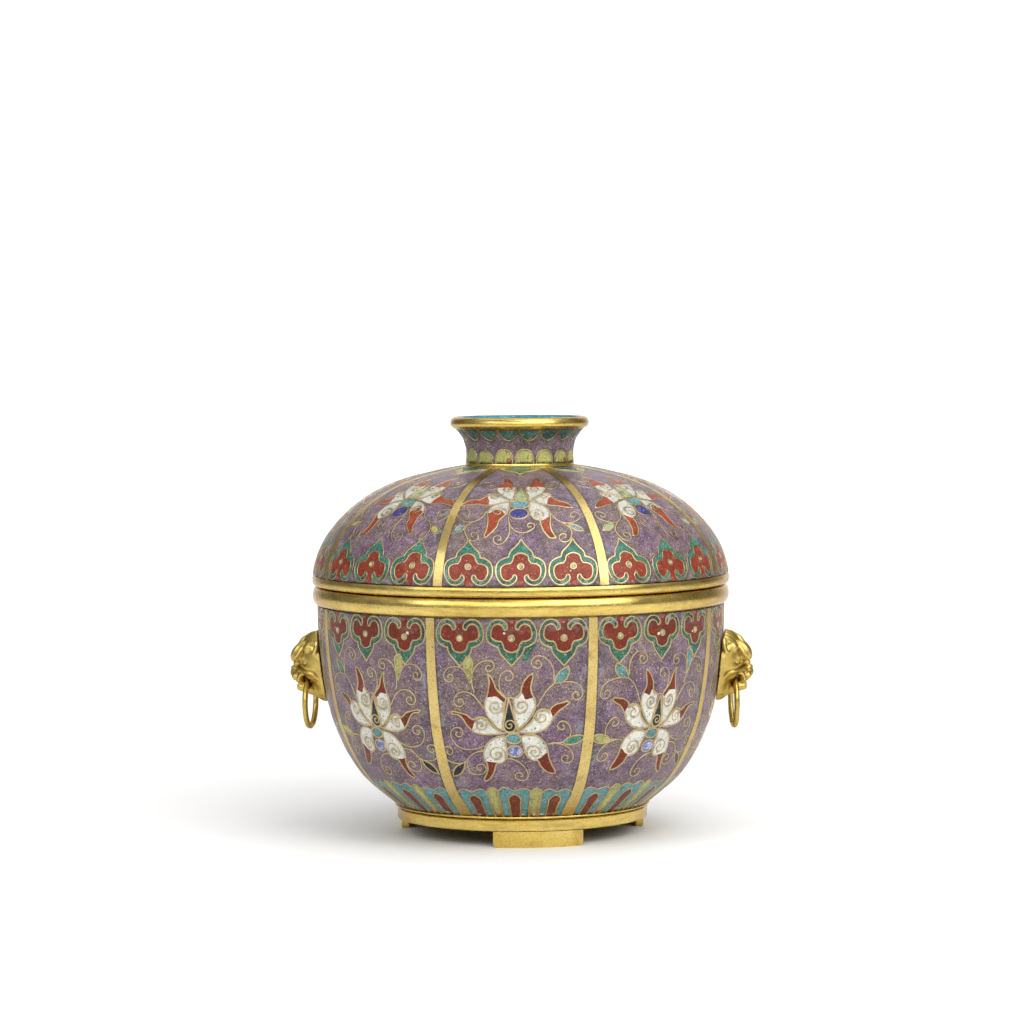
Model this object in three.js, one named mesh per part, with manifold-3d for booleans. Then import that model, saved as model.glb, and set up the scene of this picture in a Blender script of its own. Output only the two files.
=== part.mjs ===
// Covered bowl in cloisonne enamel on copper with gilt-bronze mounts.
// Millimetres, +Z up. Origin: centre of the base, on the plane the three feet stand on.
// -Y is the front panel; the two mask handles lie on +X and -X.
import * as THREE from "three";
import { mergeVertices } from "three/addons/utils/BufferGeometryUtils.js";
import Module from "manifold-3d";

const wasm = await Module();
wasm.setup();

// ---------- driving dimensions ----------
const SEG = 32; // facets of the large turned pieces
const SEG_SMALL = 24; // facets of the finial pieces
const PANELS = 8;
const PANEL_STEP = 360 / PANELS;
const COVER_TURN = 2.85; // degrees: how the loose cover sits turned on the bowl
const GAP = 0.3; // between pieces that are soldered or rest on each other
const ENAMEL = 1.0; // thickness of the fired enamel
const COPPER = 1.5; // thickness of the raised copper wall
const RIB_PROUD = 0.15; // gilt ribs stand this far out of the enamel
const BOWL_RIB_TOP = 3.5,
  BOWL_RIB_LOW = 4.7; // rib width at the rim and at the foot
const COVER_RIB_TOP = 3.2,
  COVER_RIB_LOW = 3.6;

// outer (enamel) profile of the bowl, radius against height
const BOWL = [
  [51.35, 12.8], [57.6, 18.0], [65.0, 25.0], [71.2, 35.1], [75.4, 45.0], [78.9, 58.5], [80.9, 74.0], [81.4, 91.9],
];
// outer (enamel) profile of the cover, from the rim up to the finial
const COVER = [
  [83.2, 104.3], [82.4, 109.0], [79.2, 117.0], [73.8, 124.5], [64.8, 133.0], [54.3, 139.0], [40.5, 143.7], [22.3, 147.1],
];
const COVER_APEX = 148.2;

const RIM_LOW = 92.3,
  RIM_TOP = 99.8; // the bowl's half-round rim moulding
const SEAT_R = 78.2,
  SEAT_TOP = 105.0; // the upright collar that locates the cover
const BAND_LOW = 100.1,
  BAND_TOP = 104.0; // the cover's gilt edge band
const BASE_Z = 9.8; // underside of the copper bowl inside the foot
const FOOT_R = 50.15,
  FOOT_IN = 46.9,
  FOOT_RING_LOW = 6.4,
  FOOT_RING_TOP = 10.8;
const FEET = [ // centre angle from the front and half angle, degrees
  ["foot_front", 10.25, 20.8],
  ["foot_back_right", 125.2, 20.8],
  ["foot_back_left", -119.5, 20.8],
];

const MOUTH_X = 85.1,
  MOUTH_Z = 61.4,
  MOUTH_R = 2.1; // the hole through each mask's mouth
const RING_R = 9.7,
  RING_WIRE = 1.1,
  RING_Z = 52.2; // loose ring: mean radius, wire radius, centre height
const RING_TWIST = 7; // degrees: the rings hang turned a little, front limb outwards
const RIVET_R = 1.3,
  RIVET_HOLE = 1.6;
const RIVETS = [["upper", 75.0, 76.2, 77.6], ["lower", 59.0, 74.1, 75.1]]; // height, head's inner and outer x

// ---------- helpers ----------
const rad = THREE.MathUtils.degToRad;
const v2 = (p) => new THREE.Vector2(p[0], p[1]);

function bare(geometry) {
  const g = new THREE.BufferGeometry();
  const src = geometry.index ? geometry.toNonIndexed() : geometry;
  g.setAttribute("position", src.getAttribute("position").clone());
  return mergeVertices(g, 1e-4);
}

function toSolid(geometry) {
  const g = bare(geometry);
  const p = g.attributes.position.array, idx = g.index.array;
  const tri = [];
  let vol = 0;
  for (let i = 0; i < idx.length; i += 3) {
    const [a, b, c] = [idx[i], idx[i + 1], idx[i + 2]];
    if (a === b || b === c || a === c) continue;
    tri.push(a, b, c);
    const A = p.subarray(3 * a, 3 * a + 3), B = p.subarray(3 * b, 3 * b + 3), C = p.subarray(3 * c, 3 * c + 3);
    vol += A[0] * (B[1] * C[2] - B[2] * C[1]) - A[1] * (B[0] * C[2] - B[2] * C[0]) + A[2] * (B[0] * C[1] - B[1] * C[0]);
  }
  if (vol < 0) for (let i = 0; i < tri.length; i += 3) [tri[i + 1], tri[i + 2]] = [tri[i + 2], tri[i + 1]];
  return new wasm.Manifold(new wasm.Mesh({ numProp: 3, vertProperties: new Float32Array(p), triVerts: new Uint32Array(tri) }));
}

function toGeometry(solid) {
  const m = solid.getMesh(), n = m.numProp;
  const v = new Float32Array(m.numVert * 3);
  for (let i = 0; i < m.numVert; i++) v.set(m.vertProperties.subarray(i * n, i * n + 3), i * 3);
  const g = new THREE.BufferGeometry();
  g.setAttribute("position", new THREE.BufferAttribute(v, 3));
  g.setIndex(new THREE.BufferAttribute(new Uint32Array(m.triVerts), 1));
  g.computeVertexNormals();
  return g;
}

// Turned piece: profile points [radius, height]. A profile that starts and ends on the axis is left so, any other is closed.
// The angle is measured from the front (-Y) towards +X.
function turned(points, seg = SEG) {
  const onAxis = points[0][0] === 0 && points.at(-1)[0] === 0;
  const pts = (onAxis ? points : [...points, points[0]]).map(v2);
  const g = new THREE.LatheGeometry(pts, seg);
  g.rotateX(Math.PI / 2);
  return g;
}

// A wedge of a turned piece between two angles; trim(r, z) is what is taken off each side, in mm.
// Its columns stand on the facets of the full turned piece, so neighbouring layers keep an even gap.
function wedge(outer, inner, a0, a1, trim = () => 0) {
  const facet = 360 / SEG;
  const loop = [...outer, ...[...inner].reverse()];
  const inner0 = [];
  for (let a = Math.ceil(a0 / facet - 1e-9) * facet; a < a1 + 1e-9; a += facet) inner0.push(a);
  const widest = Math.max(...loop.map(([r, z]) => THREE.MathUtils.radToDeg(trim(r, z) / r)));
  const mids = inner0.filter((a) => a > a0 + widest + 0.05 && a < a1 - widest - 0.05);
  const columns = mids.length + 2;
  const at = (k, i) => {
    const [r, z] = loop[k];
    const d = THREE.MathUtils.radToDeg(trim(r, z) / r);
    const a = i === 0 ? a0 + d : i === columns - 1 ? a1 - d : mids[i - 1];
    const mid = (Math.floor(a / facet) + 0.5) * facet;
    const rr = (r * Math.cos(rad(facet / 2))) / Math.cos(rad(a - mid));
    return [rr * Math.sin(rad(a)), -rr * Math.cos(rad(a)), z];
  };
  const pos = [];
  const tri = (p, q, s) => pos.push(...p, ...q, ...s);
  for (let i = 0; i < columns - 1; i++)
    for (let k = 0; k < loop.length; k++) {
      const n = (k + 1) % loop.length;
      const [p, q, s, t] = [at(k, i), at(n, i), at(n, i + 1), at(k, i + 1)];
      tri(p, q, s);
      tri(p, s, t);
    }
  for (const [p, q, s] of THREE.ShapeUtils.triangulateShape(loop.map(v2), [])) {
    tri(at(p, 0), at(s, 0), at(q, 0));
    tri(at(p, columns - 1), at(q, columns - 1), at(s, columns - 1));
  }
  const g = new THREE.BufferGeometry();
  g.setAttribute("position", new THREE.Float32BufferAttribute(pos, 3));
  return g;
}

// The profile moved inwards by d, square to itself.
function inset(profile, d) {
  return profile.map(([r, z], i) => {
    const a = profile[Math.max(0, i - 1)], b = profile[Math.min(profile.length - 1, i + 1)];
    const t = [b[0] - a[0], b[1] - a[1]], l = Math.hypot(...t);
    const n = [-t[1] / l, t[0] / l];
    return [r + n[0] * d, z + n[1] * d];
  });
}

function cylinderX(r, x0, x1, y, z, seg = 12) {
  const g = new THREE.CylinderGeometry(r, r, x1 - x0, seg);
  g.rotateZ(Math.PI / 2);
  g.translate((x0 + x1) / 2, y, z);
  return toSolid(g);
}

function ellipsoid(cx, cy, cz, sx, sy, sz, w = 12, h = 8) {
  const g = new THREE.SphereGeometry(1, w, h);
  g.rotateX(Math.PI / 2);
  g.scale(sx, sy, sz);
  g.translate(cx, cy, cz);
  return toSolid(g);
}

// ---------- materials ----------
const mat = (color, roughness, metalness) => new THREE.MeshStandardMaterial({ color, roughness, metalness });
const copper = mat(0xb87a4a, 0.45, 1);
const gilt = mat(0xd6a84a, 0.3, 1);
const violet = mat(0x6e5a78, 0.35, 0);
const turquoise = mat(0x3f8f9c, 0.35, 0);

const object = new THREE.Group();
const place = (name, geometry, material, group = object) => {
  const mesh = new THREE.Mesh(geometry, material);
  mesh.name = name;
  group.add(mesh);
  return mesh;
};

// ---------- bowl ----------
const bowlCu = inset(BOWL, ENAMEL + GAP);
const bowlIn = inset(BOWL, ENAMEL + GAP + COPPER);
const wallTop = bowlCu.at(-1)[0], wallTopIn = bowlIn.at(-1)[0];
let shell = toSolid(
  turned([
    [0, BASE_Z], [45.6, BASE_Z], [46.5, 11.2], [48.8, 11.3], [49.2, 12.6], ...bowlCu, [wallTop, RIM_TOP - 0.2],
    [wallTopIn, RIM_TOP - 0.2], ...[...bowlIn.slice(1)].reverse(), [48.5, 13.4], [44.0, 11.6], [0, 11.4],
  ]),
);
for (const [, z] of RIVETS) {
  shell = shell.subtract(cylinderX(RIVET_HOLE, 70, 90, 0, z)).subtract(cylinderX(RIVET_HOLE, -90, -70, 0, z));
}
place("bowl_shell", toGeometry(shell), copper);

const bowlRibHalf = (r, z) => THREE.MathUtils.mapLinear(z, BOWL[0][1], BOWL.at(-1)[1], BOWL_RIB_LOW, BOWL_RIB_TOP) / 2;
const bowlBack = inset(BOWL, ENAMEL);
const bowlFace = inset(BOWL, -RIB_PROUD);
for (let i = 0; i < PANELS; i++) {
  const g = wedge(BOWL, bowlBack, -PANEL_STEP / 2, PANEL_STEP / 2, (r, z) => bowlRibHalf(r, z) + GAP);
  let s = toSolid(g).rotate([0, 0, i * PANEL_STEP]);
  if (i === 2 || i === 6)
    for (const [, z] of RIVETS)
      s = s.subtract(cylinderX(RIVET_HOLE, i === 2 ? 70 : -90, i === 2 ? 90 : -70, 0, z));
  place(`bowl_enamel_panel_${i + 1}`, toGeometry(s), violet);
  const half = (r, z) => THREE.MathUtils.degToRad(PANEL_STEP / 2) * r - bowlRibHalf(r, z);
  const rib = wedge(bowlFace, bowlBack, -PANEL_STEP / 2, PANEL_STEP / 2, half);
  const mesh = place(`bowl_rib_${i + 1}`, toGeometry(toSolid(rib)), gilt);
  mesh.rotation.z = rad((i + 0.5) * PANEL_STEP);
}

place(
  "bowl_rim_moulding",
  toGeometry(toSolid(turned([
    [wallTop + GAP, RIM_LOW], [81.8, RIM_LOW], [82.8, 93.4], [83.3, 95.5], [83.1, 97.6], [82.2, 99.3], [81.1, RIM_TOP], [wallTop + GAP, RIM_TOP],
  ]))),
  gilt,
);
place(
  "cover_seat_collar",
  toGeometry(toSolid(turned([
    [SEAT_R - 1.4, 91.0], [SEAT_R, 91.0], [SEAT_R, SEAT_TOP - 0.6], [SEAT_R - 0.4, SEAT_TOP], [SEAT_R - 1.4, SEAT_TOP],
  ]))),
  gilt,
);
place(
  "foot_fillet",
  toGeometry(toSolid(turned([[49.5, 11.3], [50.7, 11.3], [51.2, 11.9], [51.0, 12.4], [49.9, 12.4]]))),
  gilt,
);
place(
  "foot_ring",
  toGeometry(toSolid(turned([
    [FOOT_IN, FOOT_RING_LOW], [FOOT_R - 0.1, FOOT_RING_LOW], [FOOT_R, FOOT_RING_LOW + 0.4], [FOOT_R, FOOT_RING_TOP - 0.3], [FOOT_R - 0.4, FOOT_RING_TOP], [FOOT_IN, FOOT_RING_TOP],
  ]))),
  gilt,
);
for (const [name, centre, half] of FEET) {
  const z1 = FOOT_RING_LOW - 0.15, r0 = FOOT_IN, r1 = FOOT_R - 0.15;
  const g = wedge([[r1, 0], [r1, z1]], [[r0, 0], [r0, z1]], centre - half, centre + half, (r, z) => (z < 1 ? 0.8 : 0));
  place(name, toGeometry(toSolid(g)), gilt);
}

// ---------- mask handles and rings ----------
const clear = toSolid(turned([[0, 9], ...inset(BOWL, -GAP).map(([r, z]) => [r, z]), [0, 92]]));
let mask = ellipsoid(76, 0, 68, 9.2, 12.6, 13.6, 14, 10)
  .add(ellipsoid(84.2, 0, 73.0, 6.6, 8.4, 5.2))
  .add(ellipsoid(86.2, 0, 65.4, 6.9, 4.9, 4.6))
  .add(ellipsoid(79.4, 0, 58.6, 4.5, 6.0, 4.6))
  .add(ellipsoid(79.0, 9.2, 74.5, 4.6, 3.0, 3.6, 8, 6))
  .add(ellipsoid(79.0, -9.2, 74.5, 4.6, 3.0, 3.6, 8, 6));
const bar = new THREE.CylinderGeometry(3.5, 3.5, 9.8, 14);
bar.translate(0, 0, 0);
bar.rotateZ(rad(RING_TWIST));
bar.translate(MOUTH_X, 0, MOUTH_Z);
mask = mask.add(toSolid(bar));
const tunnel = new THREE.CylinderGeometry(MOUTH_R, MOUTH_R, 30, 14);
tunnel.rotateZ(rad(RING_TWIST));
tunnel.translate(MOUTH_X, 0, MOUTH_Z);
mask = mask.subtract(toSolid(tunnel)).subtract(clear);
for (const [which, z] of RIVETS) mask = mask.subtract(cylinderX(RIVET_HOLE, 70, which === "upper" ? 84.5 : 81.9, 0, z));
mask = mask.decompose().sort((a, b) => b.volume() - a.volume())[0];

for (const [side, s] of [["right", 1], ["left", -1]]) {
  const m = s > 0 ? mask : mask.scale([-1, 1, 1]);
  place(`mask_${side}`, toGeometry(m), gilt);
  for (const [which, z, head0, head1] of RIVETS) {
    const tip = which === "upper" ? 84.0 : 81.4;
    const body = new THREE.LatheGeometry(
      [[0, head0], [1.8, head0 + 0.25], [2.9, head1 - 0.35], [2.9, head1], [RIVET_R, head1], [RIVET_R, tip], [0, tip]].map(v2), 12);
    body.rotateZ(-Math.PI / 2); // along +X
    body.scale(s, 1, 1);
    body.translate(0, 0, z);
    place(`mask_rivet_${side}_${which}`, toGeometry(toSolid(body)), gilt);
  }
  const ring = new THREE.TorusGeometry(RING_R, RING_WIRE, 8, 24);
  ring.rotateY(Math.PI / 2);
  const mesh = place(`ring_${side}`, toGeometry(toSolid(ring)), gilt);
  mesh.rotation.z = rad(s * RING_TWIST);
  mesh.position.set(s * MOUTH_X, 0, RING_Z);
}

// ---------- cover ----------
const coverCu = inset(COVER, ENAMEL + GAP);
const coverIn = inset(COVER, ENAMEL + GAP + COPPER);
const coverShell = place(
  "cover_shell",
  toGeometry(toSolid(turned([
    [0, COVER_APEX - ENAMEL - GAP - COPPER], ...[...coverIn].reverse().slice(0, -1), [80.5, 104.3],
    [81.9, 104.3], ...coverCu.slice(1), [0, COVER_APEX - ENAMEL - GAP],
  ]))),
  copper,
);
coverShell.rotation.z = rad(COVER_TURN);
const coverRibHalf = (r, z) => THREE.MathUtils.mapLinear(z, COVER[0][1], COVER.at(-1)[1], COVER_RIB_LOW, COVER_RIB_TOP) / 2;
const coverBack = inset(COVER, ENAMEL);
const coverFace = inset(COVER, -RIB_PROUD);
for (let i = 0; i < PANELS; i++) {
  const panel = wedge(COVER, coverBack, -PANEL_STEP / 2, PANEL_STEP / 2, (r, z) => coverRibHalf(r, z) + GAP);
  const mesh = place(`cover_enamel_panel_${i + 1}`, toGeometry(toSolid(panel)), violet);
  mesh.rotation.z = rad(i * PANEL_STEP + COVER_TURN);
  const half = (r, z) => THREE.MathUtils.degToRad(PANEL_STEP / 2) * r - coverRibHalf(r, z);
  const rib = wedge(coverFace, coverBack, -PANEL_STEP / 2, PANEL_STEP / 2, half);
  const bar2 = place(`cover_rib_${i + 1}`, toGeometry(toSolid(rib)), gilt);
  bar2.rotation.z = rad((i + 0.5) * PANEL_STEP + COVER_TURN);
}
const coverBand = place(
  "cover_edge_band",
  toGeometry(toSolid(turned([
    [78.9, BAND_LOW], [82.9, BAND_LOW], [83.35, 101.0], [83.35, 103.3], [83.0, BAND_TOP], [79.75, BAND_TOP], [79.75, 106.2], [78.9, 106.2],
  ]))),
  gilt,
);

coverBand.rotation.z = rad(COVER_TURN);

// ---------- finial ----------
const FIN = [[21.55, 148.7], [21.5, 153.4], [22.6, 158.0], [25.4, 161.5]];
const finSolid = (d0, d1) => {
  const a = FIN.map(([r, z]) => [r - d0, z]), b = FIN.map(([r, z]) => [r - d1, z]);
  return toSolid(turned([...a, ...[...b].reverse()], SEG_SMALL));
};
place("finial_base_ring", toGeometry(toSolid(turned([[17.0, 146.6], [21.6, 146.6], [21.85, 147.5], [21.6, 148.4], [17.0, 148.4]], SEG_SMALL))), gilt);
place("finial_enamel", toGeometry(finSolid(0, ENAMEL)), violet);
place("finial_wall", toGeometry(finSolid(ENAMEL + GAP, ENAMEL + GAP + 1.2)), copper);
place("finial_lining", toGeometry(finSolid(ENAMEL + 2 * GAP + 1.2, ENAMEL + 2 * GAP + 2.0)), turquoise);
place("finial_floor", toGeometry(toSolid(turned([[0, 147.3], [16.7, 147.3], [16.7, 148.5], [0, 148.5]], SEG_SMALL))), turquoise);
place(
  "finial_rim",
  toGeometry(toSolid(turned([
    [22.2, 161.8], [26.5, 161.8], [27.5, 162.9], [27.75, 164.2], [27.4, 165.6], [26.5, 166.5], [25.3, 166.7], [23.9, 166.0], [22.6, 164.0],
  ], SEG_SMALL))),
  gilt,
);

export default object;
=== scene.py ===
import math
import bpy
import numpy as np
from mathutils import Matrix, Vector
from mathutils.kdtree import KDTree


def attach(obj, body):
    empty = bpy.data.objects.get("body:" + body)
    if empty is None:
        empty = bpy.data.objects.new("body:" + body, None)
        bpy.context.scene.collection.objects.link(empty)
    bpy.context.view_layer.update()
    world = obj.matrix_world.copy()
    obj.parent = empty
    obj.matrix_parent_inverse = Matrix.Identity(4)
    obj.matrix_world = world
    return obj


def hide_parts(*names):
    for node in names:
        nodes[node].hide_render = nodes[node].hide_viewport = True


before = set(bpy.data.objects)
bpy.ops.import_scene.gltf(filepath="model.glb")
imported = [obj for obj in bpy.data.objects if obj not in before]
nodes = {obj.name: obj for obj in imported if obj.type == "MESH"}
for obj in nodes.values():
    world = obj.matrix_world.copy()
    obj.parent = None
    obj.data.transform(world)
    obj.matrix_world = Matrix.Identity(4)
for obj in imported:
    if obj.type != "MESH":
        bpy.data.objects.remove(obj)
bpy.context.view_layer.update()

MM = 0.001
PANELS = 8
STEP = 45.0
COVER_TURN = 2.85
SEAT_R, SEAT_TOP = 78.2, 105.0


# ---------------------------------------------------------------- materials
class Tree:
    """A small helper for node materials."""

    def __init__(self, name):
        self.mat = bpy.data.materials.new(name)
        self.mat.use_nodes = True
        self.nt = self.mat.node_tree
        self.nt.nodes.clear()
        self.out = self.nt.nodes.new("ShaderNodeOutputMaterial")
        self.bsdf = self.nt.nodes.new("ShaderNodeBsdfPrincipled")
        self.nt.links.new(self.bsdf.outputs[0], self.out.inputs[0])
        self.coord = self.nt.nodes.new("ShaderNodeTexCoord").outputs["Object"]

    def link(self, a, b):
        self.nt.links.new(a, b)

    def set(self, **kw):
        for k, v in kw.items():
            self.bsdf.inputs[k.replace("_", " ")].default_value = v

    def noise(self, scale, detail=4.0, rough=0.55, vec=None, distortion=0.0, out="Fac"):
        n = self.nt.nodes.new("ShaderNodeTexNoise")
        n.inputs["Scale"].default_value = scale
        n.inputs["Detail"].default_value = detail
        n.inputs["Roughness"].default_value = rough
        n.inputs["Distortion"].default_value = distortion
        self.link(vec or self.coord, n.inputs["Vector"])
        return n.outputs[out]

    def voronoi(self, scale, feature="F1", out="Distance", vec=None, randomness=1.0):
        n = self.nt.nodes.new("ShaderNodeTexVoronoi")
        n.feature = feature
        n.inputs["Scale"].default_value = scale
        n.inputs["Randomness"].default_value = randomness
        self.link(vec or self.coord, n.inputs["Vector"])
        return n.outputs[out]

    def ramp(self, fac, stops, mode="LINEAR"):
        n = self.nt.nodes.new("ShaderNodeValToRGB")
        n.color_ramp.interpolation = mode
        while len(n.color_ramp.elements) < len(stops):
            n.color_ramp.elements.new(0.5)
        for e, (p, c) in zip(n.color_ramp.elements, stops):
            e.position = p
            e.color = (*c, 1.0) if len(c) == 3 else c
        self.link(fac, n.inputs[0])
        return n.outputs[0]

    def range(self, fac, a, b, c=0.0, d=1.0):
        n = self.nt.nodes.new("ShaderNodeMapRange")
        n.inputs[1].default_value = a
        n.inputs[2].default_value = b
        n.inputs[3].default_value = c
        n.inputs[4].default_value = d
        self.link(fac, n.inputs[0])
        return n.outputs[0]

    def math(self, op, a, b=0.5):
        n = self.nt.nodes.new("ShaderNodeMath")
        n.operation = op
        for i, x in enumerate((a, b)):
            if isinstance(x, (int, float)):
                n.inputs[i].default_value = x
            else:
                self.link(x, n.inputs[i])
        return n.outputs[0]

    def mix(self, fac, a, b, mode="MIX"):
        n = self.nt.nodes.new("ShaderNodeMix")
        n.data_type = "RGBA"
        n.blend_type = mode
        for i, x in ((0, fac), (6, a), (7, b)):
            if isinstance(x, (int, float)):
                n.inputs[i].default_value = x
            elif isinstance(x, tuple):
                n.inputs[i].default_value = (*x, 1.0)
            else:
                self.link(x, n.inputs[i])
        return n.outputs[2]

    def bump(self, height, strength=0.3, distance=0.0001, normal=None):
        n = self.nt.nodes.new("ShaderNodeBump")
        n.inputs["Strength"].default_value = strength
        n.inputs["Distance"].default_value = distance
        self.link(height, n.inputs["Height"])
        if normal is not None:
            self.link(normal, n.inputs["Normal"])
        return n.outputs[0]


def gilt(name, bright=1.0, rough=0.26, wear=1.0, turned=False, pale=0.0, cast=False, coat=0.35, coat_rough=0.20):
    """Fire gilding: warm yellow, cloudy where it is worn, with brown tarnish, small pits and fine polishing marks."""
    t = Tree(name)
    big = t.noise(26, 5, 0.6)
    mid = t.noise(150, 4, 0.6, distortion=0.3)
    fine = t.noise(900, 3, 0.6)
    k = bright
    # pale is how far the gilding is rubbed towards a lighter, greyer brass
    def tone(r, g, b):
        return (r * k, (g + pale * 0.035) * k, (b + pale * 0.16) * k)

    base = t.ramp(big, [(0.28, tone(0.60, 0.405, 0.075)), (0.50, tone(0.72, 0.520, 0.120)), (0.72, tone(0.82, 0.625, 0.190))])
    base = t.mix(t.math("MULTIPLY", t.ramp(mid, [(0.54, (0, 0, 0)), (0.80, (1, 1, 1))]), 0.45 * wear), base, (0.46 * k, 0.29 * k, 0.050 * k))
    # brown tarnish in patches, and pits
    patch_f = t.math("MULTIPLY", t.ramp(t.noise(55, 5, 0.65, distortion=0.5), [(0.60, (0, 0, 0)), (0.74, (1, 1, 1))]), 0.5 * wear)
    base = t.mix(patch_f, base, (0.28 * k, 0.175 * k, 0.045 * k))
    base = t.mix(min(1.0, (0.4 if turned else 0.8) * wear), base, t.ramp(t.noise(1300, 3, 0.75), [(0.34, (0.78, 0.76, 0.70)), (0.50, (1, 1, 1)), (0.66, (1.10, 1.12, 1.20))]), "MULTIPLY")
    cell = t.ramp(t.voronoi(420), [(0.07, (1, 1, 1)), (0.15, (0, 0, 0))])
    sel = t.ramp(t.noise(230, 2, 0.5), [(0.57, (0, 0, 0)), (0.63, (1, 1, 1))])
    pits = t.math("MULTIPLY", t.math("MULTIPLY", cell, sel), wear)
    col = t.mix(t.math("MULTIPLY", pits, 0.75), base, (0.07, 0.045, 0.02))
    if turned:
        # stains drawn out along the turning
        flat = t.nt.nodes.new("ShaderNodeVectorMath")
        flat.operation = "MULTIPLY"
        flat.inputs[1].default_value = (0.16, 0.16, 1.0)
        t.link(t.coord, flat.inputs[0])
        drawn = t.noise(650, 4, 0.65, vec=flat.outputs[0], distortion=0.3)
        col = t.mix(t.math("MULTIPLY", t.ramp(drawn, [(0.50, (0, 0, 0)), (0.68, (1, 1, 1))]), 0.50 * wear), col, (0.36 * k, 0.21 * k, 0.030 * k))
        col = t.mix(t.math("MULTIPLY", t.ramp(drawn, [(0.32, (1, 1, 1)), (0.46, (0, 0, 0))]), 0.45 * wear), col, (0.88 * k, 0.68 * k, 0.20 * k))
    if cast:
        # brown in the hollows, rubbed bright on the ridges
        hollow = t.nt.nodes.new("ShaderNodeAttribute")
        hollow.attribute_name = "hollow"
        col = t.mix(t.math("MULTIPLY", t.range(hollow.outputs["Fac"], 0.10, 0.75, 0.0, 1.0), 0.85), col, (0.16, 0.095, 0.022))
        col = t.mix(t.math("MULTIPLY", t.range(hollow.outputs["Fac"], -0.15, -0.9, 0.0, 1.0), 0.6), col, (0.80, 0.61, 0.21))
    t.link(col, t.bsdf.inputs["Base Color"])
    t.set(Metallic=1.0)
    r = t.range(mid, 0.3, 0.75, rough - 0.04, rough + 0.13)
    r = t.math("ADD", r, t.math("MULTIPLY", patch_f, 0.30))
    t.link(r, t.bsdf.inputs["Roughness"])
    height = t.math("SUBTRACT", t.math("ADD", t.math("MULTIPLY", fine, 0.35), t.math("MULTIPLY", mid, 0.6)), pits)
    if turned:
        sep = t.nt.nodes.new("ShaderNodeSeparateXYZ")
        t.link(t.coord, sep.inputs[0])
        rr = t.math("SQRT", t.math("ADD", t.math("MULTIPLY", sep.outputs[0], sep.outputs[0]), t.math("MULTIPLY", sep.outputs[1], sep.outputs[1])))
        comb = t.nt.nodes.new("ShaderNodeCombineXYZ")
        t.link(rr, comb.inputs[0])
        t.link(sep.outputs[2], comb.inputs[1])
        rings = t.noise(1500, 3, 0.7, vec=comb.outputs[0])
        height = t.math("ADD", height, t.math("MULTIPLY", rings, 0.9))
    t.link(t.bump(height, 0.35, 0.00008), t.bsdf.inputs["Normal"])
    t.bsdf.inputs["Specular Tint"].default_value = (0.55, 0.36, 0.10, 1.0)
    t.bsdf.inputs["Coat Weight"].default_value = coat
    t.bsdf.inputs["Coat Roughness"].default_value = coat_rough
    t.bsdf.inputs["Coat IOR"].default_value = 1.5
    return t.mat


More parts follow.
